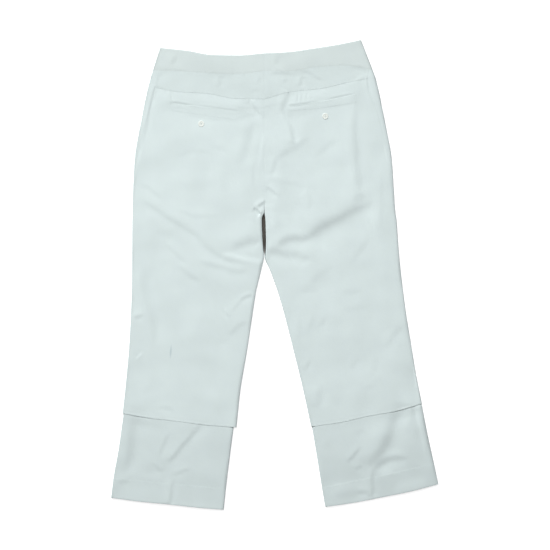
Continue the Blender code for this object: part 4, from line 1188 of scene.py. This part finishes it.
# ---------------------------------------------------------------- stitches
def stitch_template():
    """Points and faces of one stitch along X, from -1 to 1, with unit radius."""
    points, faces = [], []
    for along, radius, stand in STITCH_RINGS:
        for k in range(STITCH_SIDES):
            angle = 2 * math.pi * k / STITCH_SIDES
            points.append((along, radius * math.cos(angle), stand + radius * math.sin(angle)))
    rings = len(STITCH_RINGS)
    for r in range(rings - 1):
        for k in range(STITCH_SIDES):
            a, b = r * STITCH_SIDES + k, r * STITCH_SIDES + (k + 1) % STITCH_SIDES
            faces.append((a, b, b + STITCH_SIDES, a + STITCH_SIDES))
    faces.append(tuple(range(STITCH_SIDES))[::-1])
    faces.append(tuple((rings - 1) * STITCH_SIDES + k for k in range(STITCH_SIDES)))
    return np.array(points), faces


def resample(line, pitch):
    """Middles and directions of the stitches along a line of points."""
    line = np.asarray(line, dtype=float)
    steps = np.hypot(*np.diff(line, axis=0).T)
    knots = np.concatenate(([0.0], np.cumsum(steps)))
    count = max(1, int(knots[-1] / pitch))
    at = (np.arange(count) + 0.5) * knots[-1] / count
    ends = [np.stack([np.interp(at + d, knots, line[:, k]) for k in (0, 1)], axis=1)
            for d in (-STITCH_TURN, STITCH_TURN)]
    return (ends[0] + ends[1]) / 2, ends[1] - ends[0]


def sewn(node, made, lines, material, above=True, pitch=STITCH_PITCH, length=STITCH_LENGTH):
    """Rows of stitches along lines on one panel's face, as one joined mesh."""
    template, template_faces = stitch_template()
    points, faces = [], []
    for line in lines:
        middles, ways = resample(line, pitch)
        for (x, y), way in zip(middles, ways):
            found = surface_point(made.tree, x, y, above)
            if found is None:
                continue
            place, normal = found
            along = Vector((way[0], way[1], 0.0))
            along = (along - normal * along.dot(normal)).normalized()
            aside = normal.cross(along)
            first = len(points)
            for u, v, w in template:
                points.append(place + along * (u * length / 2 * MM) + aside * (v * STITCH_RADIUS * MM)
                              + normal * (w * STITCH_RADIUS * MM))
            faces += [tuple(first + k for k in face) for face in template_faces]
    name = f"stitches_{node}"
    return add_piece(name, build_mesh(name, points, faces), material, "twill")


def row_line(rows, name, dy, start, finish, above):
    """Points along a table row, moved by dy, between shares of its width."""
    row = rows_at(rows, [station_of(rows, name)])
    inner = row.x_in[0] if above else row.front_in[0]
    part = np.linspace(start, finish, ROW_POINTS)
    x = row.x_out[0] + (inner - row.x_out[0]) * part
    return np.stack((x, smooth(QUARTERS, row.y, part)[0] + dy), axis=1)


def welt_line(welt):
    """The stitched outline of a welt, as one line round it."""
    part = np.linspace(WELT_STITCHED[0], WELT_STITCHED[1], WELT_POINTS)
    mouth, depth = welt_mouth(welt, part)
    upper = mouth.T - np.stack((0 * part, WELT_INSET + 0 * part), axis=1)
    lower = mouth.T - np.stack((0 * part, depth - WELT_INSET), axis=1)
    return np.concatenate((upper, lower[::-1], upper[:1]))


def button_thread(side, welt, panel, material):
    """Thread crossing between the holes of a button."""
    low = surface_point(panel.tree, *welt.button)[0].z / MM - BUTTON_SUNK
    x, y = welt.button
    middle = np.array((x, y, low + BUTTON_THICKNESS - BUTTON_RECESS + THREAD_STANDS))
    points, faces = [], []
    template, template_faces = stitch_template()
    for turn in (math.pi / 4, -math.pi / 4):
        along = np.array((math.cos(turn), math.sin(turn), 0.0))
        across = np.array((-math.sin(turn), math.cos(turn), 0.0))
        for aside in (-THREAD_APART, THREAD_APART):
            first = len(points)
            for u, v, w in template:
                place = (middle + along * u * (BUTTON_HOLE_OFFSET + THREAD_PAST)
                         + across * (aside + v * THREAD_RADIUS))
                sunk = THREAD_SUNK * (abs(u) > THREAD_BENDS)
                place = place + np.array((0.0, 0.0, w * THREAD_RADIUS - sunk))
                points.append(tuple(place * MM))
            faces += [tuple(first + k for k in face) for face in template_faces]
    name = f"button_thread_{side.name}"
    return add_piece(name, build_mesh(name, points, faces), material, "button")


def sew(side, welt, made, thread):
    """All the rows of stitches on one side, by the panel that they lie on."""
    lines = {}
    for panel, table, row, dy, start, finish, above in STITCH_ROWS:
        line = row_line(getattr(side, table), row, dy, start, finish, above)
        lines.setdefault((f"{panel}_{side.name}", above), []).append(line)
    pieces = {node: [sewn(node, made[node], rows, thread, above)]
              for (node, above), rows in lines.items()}
    node = f"pocket_welt_{side.name}"
    pieces[node] = [sewn(node, made[node], [welt_line(welt)], thread, True, *WELT_STITCHES)]
    return pieces


# ---------------------------------------------------------------- materials
class Nodes:
    """Small helper that adds linked nodes to a material."""

    def __init__(self, name):
        self.material = bpy.data.materials.new(name)
        self.material.use_nodes = True
        self.tree = self.material.node_tree
        self.shader = self.tree.nodes["Principled BSDF"]
        self.place = self.add("ShaderNodeTexCoord").outputs["Object"]

    def add(self, kind, inputs=None, **settings):
        """Node of this kind, with its inputs set or linked."""
        node = self.tree.nodes.new(kind)
        for key, value in settings.items():
            setattr(node, key, value)
        for key, value in (inputs or {}).items():
            self.link(value, node.inputs[key])
        return node

    def link(self, value, socket):
        """Links an output to a socket, or sets the socket to a value."""
        if isinstance(value, bpy.types.NodeSocket):
            self.tree.links.new(value, socket)
        else:
            socket.default_value = value

    def finish(self, **values):
        """Links or sets the shader's sockets, with _ for a space, and gives the material."""
        for key, value in values.items():
            self.link(value, self.shader.inputs[key.replace("_", " ")])
        return self.material

    def mix(self, factor, first, second):
        """Colour between two colours."""
        node = self.add("ShaderNodeMix", data_type="RGBA")
        for value, number in ((factor, 0), (first, 6), (second, 7)):
            self.link(value, node.inputs[number])
        return node.outputs[2]

    def math(self, operation, first, second=0.0):
        """Result of one sum."""
        return self.add("ShaderNodeMath", {0: first, 1: second}, operation=operation).outputs[0]

    def span(self, value, low, high, to_low=0.0, to_high=1.0):
        """Value moved from one range to another, and held inside it."""
        ends = {0: value, 1: low, 2: high, 3: to_low, 4: to_high}
        return self.add("ShaderNodeMapRange", ends).outputs[0]

    def noise(self, place, scale, detail, **inputs):
        """Soft noise of this scale, per metre."""
        inputs.update(Vector=place, Scale=scale, Detail=detail)
        return self.add("ShaderNodeTexNoise", inputs).outputs[0]

    def moved(self, place, **inputs):
        """Places that are moved, turned or scaled."""
        return self.add("ShaderNodeMapping", {"Vector": place, **inputs}).outputs[0]

    def bump(self, height, strength, distance):
        """Normal of a surface with this relief."""
        return self.add("ShaderNodeBump", {
            "Strength": strength, "Distance": distance, "Height": height}).outputs[0]


def shaded(colour, share):
    """An opaque colour, lighter or darker by this share."""
    return tuple(min(1.0, value * share) for value in colour) + (1.0,)


def twill(name, tint, turn, mark=None):
    """White stretch twill: diagonal rib whose grooves are painted darker as painted shade, yarn, soft
    mottling and a faint satin sheen, with a real stain or the painted shade of the slit laid over it
    where one is given.
    """
    made = Nodes(name)
    place = made.place
    turned = made.moved(place, Rotation=(0.0, 0.0, math.radians(turn)))
    rib = made.add("ShaderNodeTexWave", {
        "Vector": turned, "Scale": 300.0, "Distortion": 1.2, "Detail": 1.0, "Detail Scale": 3.0,
    }, bands_direction="X").outputs[1]
    yarn = made.noise(turned, 1500.0, 2.0, Roughness=0.6)
    blotch = made.noise(place, 13.0, 3.0, Roughness=0.55)
    cloud = made.noise(place, 60.0, 2.0, Roughness=0.5)
    colour = made.mix(made.span(blotch, 0.3, 0.7), shaded(tint, 0.965), shaded(tint, 1.02))
    grey = tuple(value * 0.985 for value in tint[:2]) + (tint[2], 1.0)
    colour = made.mix(made.span(cloud, 0.45, 0.75, 0.0, 0.5), colour, grey)
    # painted shade: the rib's low parts, its grooves, are painted darker
    painted_groove_shade = made.math("MULTIPLY", made.span(rib, 0.0, 0.45, 1.0, 0.0), 0.35)
    colour = made.mix(painted_groove_shade, colour, shaded(tint, 0.93))
    # a real stain, or the painted shade of the slit between the legs, laid over the colour
    if mark:
        colour = mark.paint(made, place, colour)
    height = made.math("ADD", rib, made.math("MULTIPLY", yarn, 0.7))
    return made.finish(
        Base_Color=colour, Normal=made.bump(height, 0.35, 0.00008),
        Roughness=made.span(yarn, 0.3, 0.7, 0.56, 0.68), Specular_IOR_Level=0.35,
        Sheen_Weight=0.12, Sheen_Roughness=0.45)


class Stain(namedtuple("Stain", "x y turn half_width half_length colour")):
    """A faint stain: a soft streak of another colour round one place."""

    def paint(self, made, place, colour):
        """The colour with the stain over it."""
        moved = made.moved(place, Location=(-self.x * MM, -self.y * MM, 0.0))
        turned = made.moved(moved, Rotation=(0.0, 0.0, self.turn), Scale=(1.0, 1.0, 0.0))
        scale = (1 / (self.half_width * MM), 1 / (self.half_length * MM), 0.0)
        inside = made.add("ShaderNodeTexGradient", {"Vector": made.moved(turned, Scale=scale)},
                          gradient_type="SPHERICAL")
        return made.mix(made.span(inside.outputs[1], 0.0, 0.75, 0.0, 0.85), colour, self.colour)


class SlitPaintedShade(namedtuple("SlitPaintedShade", "x half_width y_low y_high colour")):
    """The front's inner face in the narrow slit between the legs, painted near black: painted shade."""

    def paint(self, made, place, colour):
        """The colour with the painted shade over it, which fades in over these millimetres."""
        apart = made.add("ShaderNodeSeparateXYZ", {0: place}).outputs
        across = made.math("ABSOLUTE", made.math("SUBTRACT", apart[0], self.x * MM))
        inside = made.span(across, (self.half_width - 1.0) * MM, self.half_width * MM, 1.0, 0.0)
        low = made.span(apart[1], self.y_low * MM, (self.y_low + 6.0) * MM)
        high = made.span(apart[1], (self.y_high - 2.0) * MM, self.y_high * MM, 1.0, 0.0)
        upper = made.span(apart[2], 0.3 * MM, 0.5 * MM)
        strength = made.math("MULTIPLY", made.math("MULTIPLY", inside, low),
                             made.math("MULTIPLY", high, upper))
        return made.mix(strength, colour, self.colour)


LEG_STAIN = Stain(-192.0, -142.0, math.radians(4.0), 2.3, 15.0, (0.50, 0.60, 0.62, 1.0))
# painted shade: the front's inner face in the slit between the legs is painted near black
FORK_SLIT_PAINTED_SHADE = SlitPaintedShade(-20.0, 14.0, 36.0, 121.0, (0.06, 0.054, 0.044, 1.0))


def thread_material():
    """White sewing thread with a fine twist, painted darker in the twist's low parts: painted shade."""
    made = Nodes("thread")
    twist = made.add("ShaderNodeTexWave", {"Vector": made.place, "Scale": 700.0, "Distortion": 0.5},
                     bands_direction="DIAGONAL").outputs[1]
    # painted shade: the twist's low parts are given the darker colour
    colour = made.mix(twist, (0.60, 0.69, 0.68, 1.0), (0.72, 0.80, 0.79, 1.0))
    return made.finish(Base_Color=colour, Normal=made.bump(twist, 0.4, 0.00005), Roughness=0.55,
                       Sheen_Weight=0.1)


def button_material():
    """Off-white resin with a faint pearly cloud."""
    made = Nodes("button_resin")
    cloud = made.noise(made.place, 260.0, 3.0, Distortion=1.5)
    colour = made.mix(made.span(cloud, 0.35, 0.65), (0.72, 0.77, 0.73, 1.0), (0.82, 0.86, 0.81, 1.0))
    return made.finish(
        Base_Color=colour, Roughness=made.span(cloud, 0.3, 0.7, 0.42, 0.52),
        Normal=made.bump(cloud, 0.15, 0.00005), Coat_Weight=0.1, Coat_Roughness=0.3)


def floor_material():
    """Bright white paper that the light washes out."""
    made = Nodes("floor_paper")
    grain = made.noise(made.place, 40.0, 3.0)
    colour = made.mix(grain, (0.93, 0.93, 0.93, 1.0), (0.95, 0.95, 0.95, 1.0))
    return made.finish(Base_Color=colour, Roughness=0.9, Emission_Color=(1.0, 1.0, 1.0, 1.0),
                       Emission_Strength=0.6)


# ---------------------------------------------------------------- stage
def add_stage():
    """Floor, soft lights and the camera straight above."""
    corners = [(x * FLOOR_HALF, y * FLOOR_HALF, FLOOR_Z)
               for x, y in ((-1, -1), (1, -1), (1, 1), (-1, 1))]
    mesh = bpy.data.meshes.new("floor")
    mesh.from_pydata(corners, [], [(0, 1, 2, 3)])
    mesh.materials.append(floor_material())
    floor = place_object("floor", mesh)
    floor.visible_diffuse = False
    floor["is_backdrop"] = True
    for light in LIGHTS:
        add_light(light)
    add_world()
    camera = bpy.data.cameras.new("camera")
    camera.sensor_width = SENSOR
    camera.lens = SENSOR * CAMERA_HEIGHT / VIEW_WIDTH
    viewer = place_object("camera", camera)
    viewer.location = (*VIEW_CENTRE, CAMERA_HEIGHT)
    bpy.context.scene.camera = viewer
    bpy.context.scene.view_settings.view_transform = "Standard"


def add_light(light):
    """Rectangular soft light that faces its target."""
    data = bpy.data.lights.new(light.name, "AREA")
    data.shape = "RECTANGLE"
    data.size, data.size_y = light.size
    data.energy = light.power
    lamp = place_object(light.name, data)
    lamp.location = light.place
    way = Vector(light.target) - Vector(light.place)
    lamp.rotation_euler = way.to_track_quat("-Z", "Y").to_euler()


def add_world():
    """Studio walls that are white above and grey towards the floor."""
    world = bpy.data.worlds.new("studio")
    bpy.context.scene.world = world
    world.use_nodes = True
    nodes, links = world.node_tree.nodes, world.node_tree.links
    place = nodes.new("ShaderNodeTexCoord")
    height = nodes.new("ShaderNodeSeparateXYZ")
    shade = nodes.new("ShaderNodeValToRGB")
    sky = nodes["Background"]
    links.new(place.outputs["Generated"], height.inputs[0])
    links.new(height.outputs["Z"], shade.inputs[0])
    links.new(shade.outputs[0], sky.inputs["Color"])
    for stop, (position, grey) in zip(shade.color_ramp.elements, WORLD_SHADES):
        stop.position = position
        stop.color = (grey, grey, grey, 1.0)
    sky.inputs["Strength"].default_value = WORLD_STRENGTH


# ---------------------------------------------------------------- the garment
def declare_sheets(made, sewing):
    """Works out each cloth piece's flat size and the pieces sewn to it, and does nothing more with
    them.
    """
    for node, panel in made.items():
        width, length, area = grid_size(panel.grid)
        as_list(sewing.get(node, []))


def build_garment():
    """Every piece, by side."""
    materials = {
        "twill_leg_left": twill("twill_leg_marked", LEG_TINT, LEG_TURN, LEG_STAIN),
        "twill_leg_right": twill("twill_leg", LEG_TINT, LEG_TURN),
        # the front panels carry the painted shade in the slit between the legs
        "twill_front": twill("twill_front", LEG_TINT, LEG_TURN, FORK_SLIT_PAINTED_SHADE),
        # band, yoke and lower leg use darker copies of the leg's tint: painted shade
        "twill_band": twill("twill_band", BAND_SHADED_TINT, BAND_TURN),
        "twill_yoke": twill("twill_yoke", YOKE_SHADED_TINT, YOKE_TURN),
        "twill_lower": twill("twill_lower_leg", LOWER_SHADED_TINT, LEG_TURN),
        "thread": thread_material(),
        "button": button_material(),
    }
    made, sewing = {}, {}
    for side, welt in zip(SIDES, WELTS):
        for panels in (waistband, yoke, leg_back, leg_front, lower_back, lower_front):
            for panel, cuts in panels(side):
                made[panel.name] = make_panel(panel, cuts, materials)
        seat = f"leg_back_{side.name}"
        made[f"pocket_welt_{side.name}"] = pocket_welt(side, welt, made[seat], materials)
        pocket_button(side, welt, made[seat], materials)
        sewing.update(sew(side, welt, made, materials["thread"]))
        sewing[seat].append(button_thread(side, welt, made[seat], materials["thread"]))
    declare_sheets(made, sewing)


def write_sizes():
    """The CAD box and the visual model's box, as plain lists of numbers, which are kept nowhere."""
    boxes = {"cad": cad_box, "visual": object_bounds()}
    {name: [list(corner) for corner in box] for name, box in boxes.items()}


add_stage()
build_garment()
write_sizes()
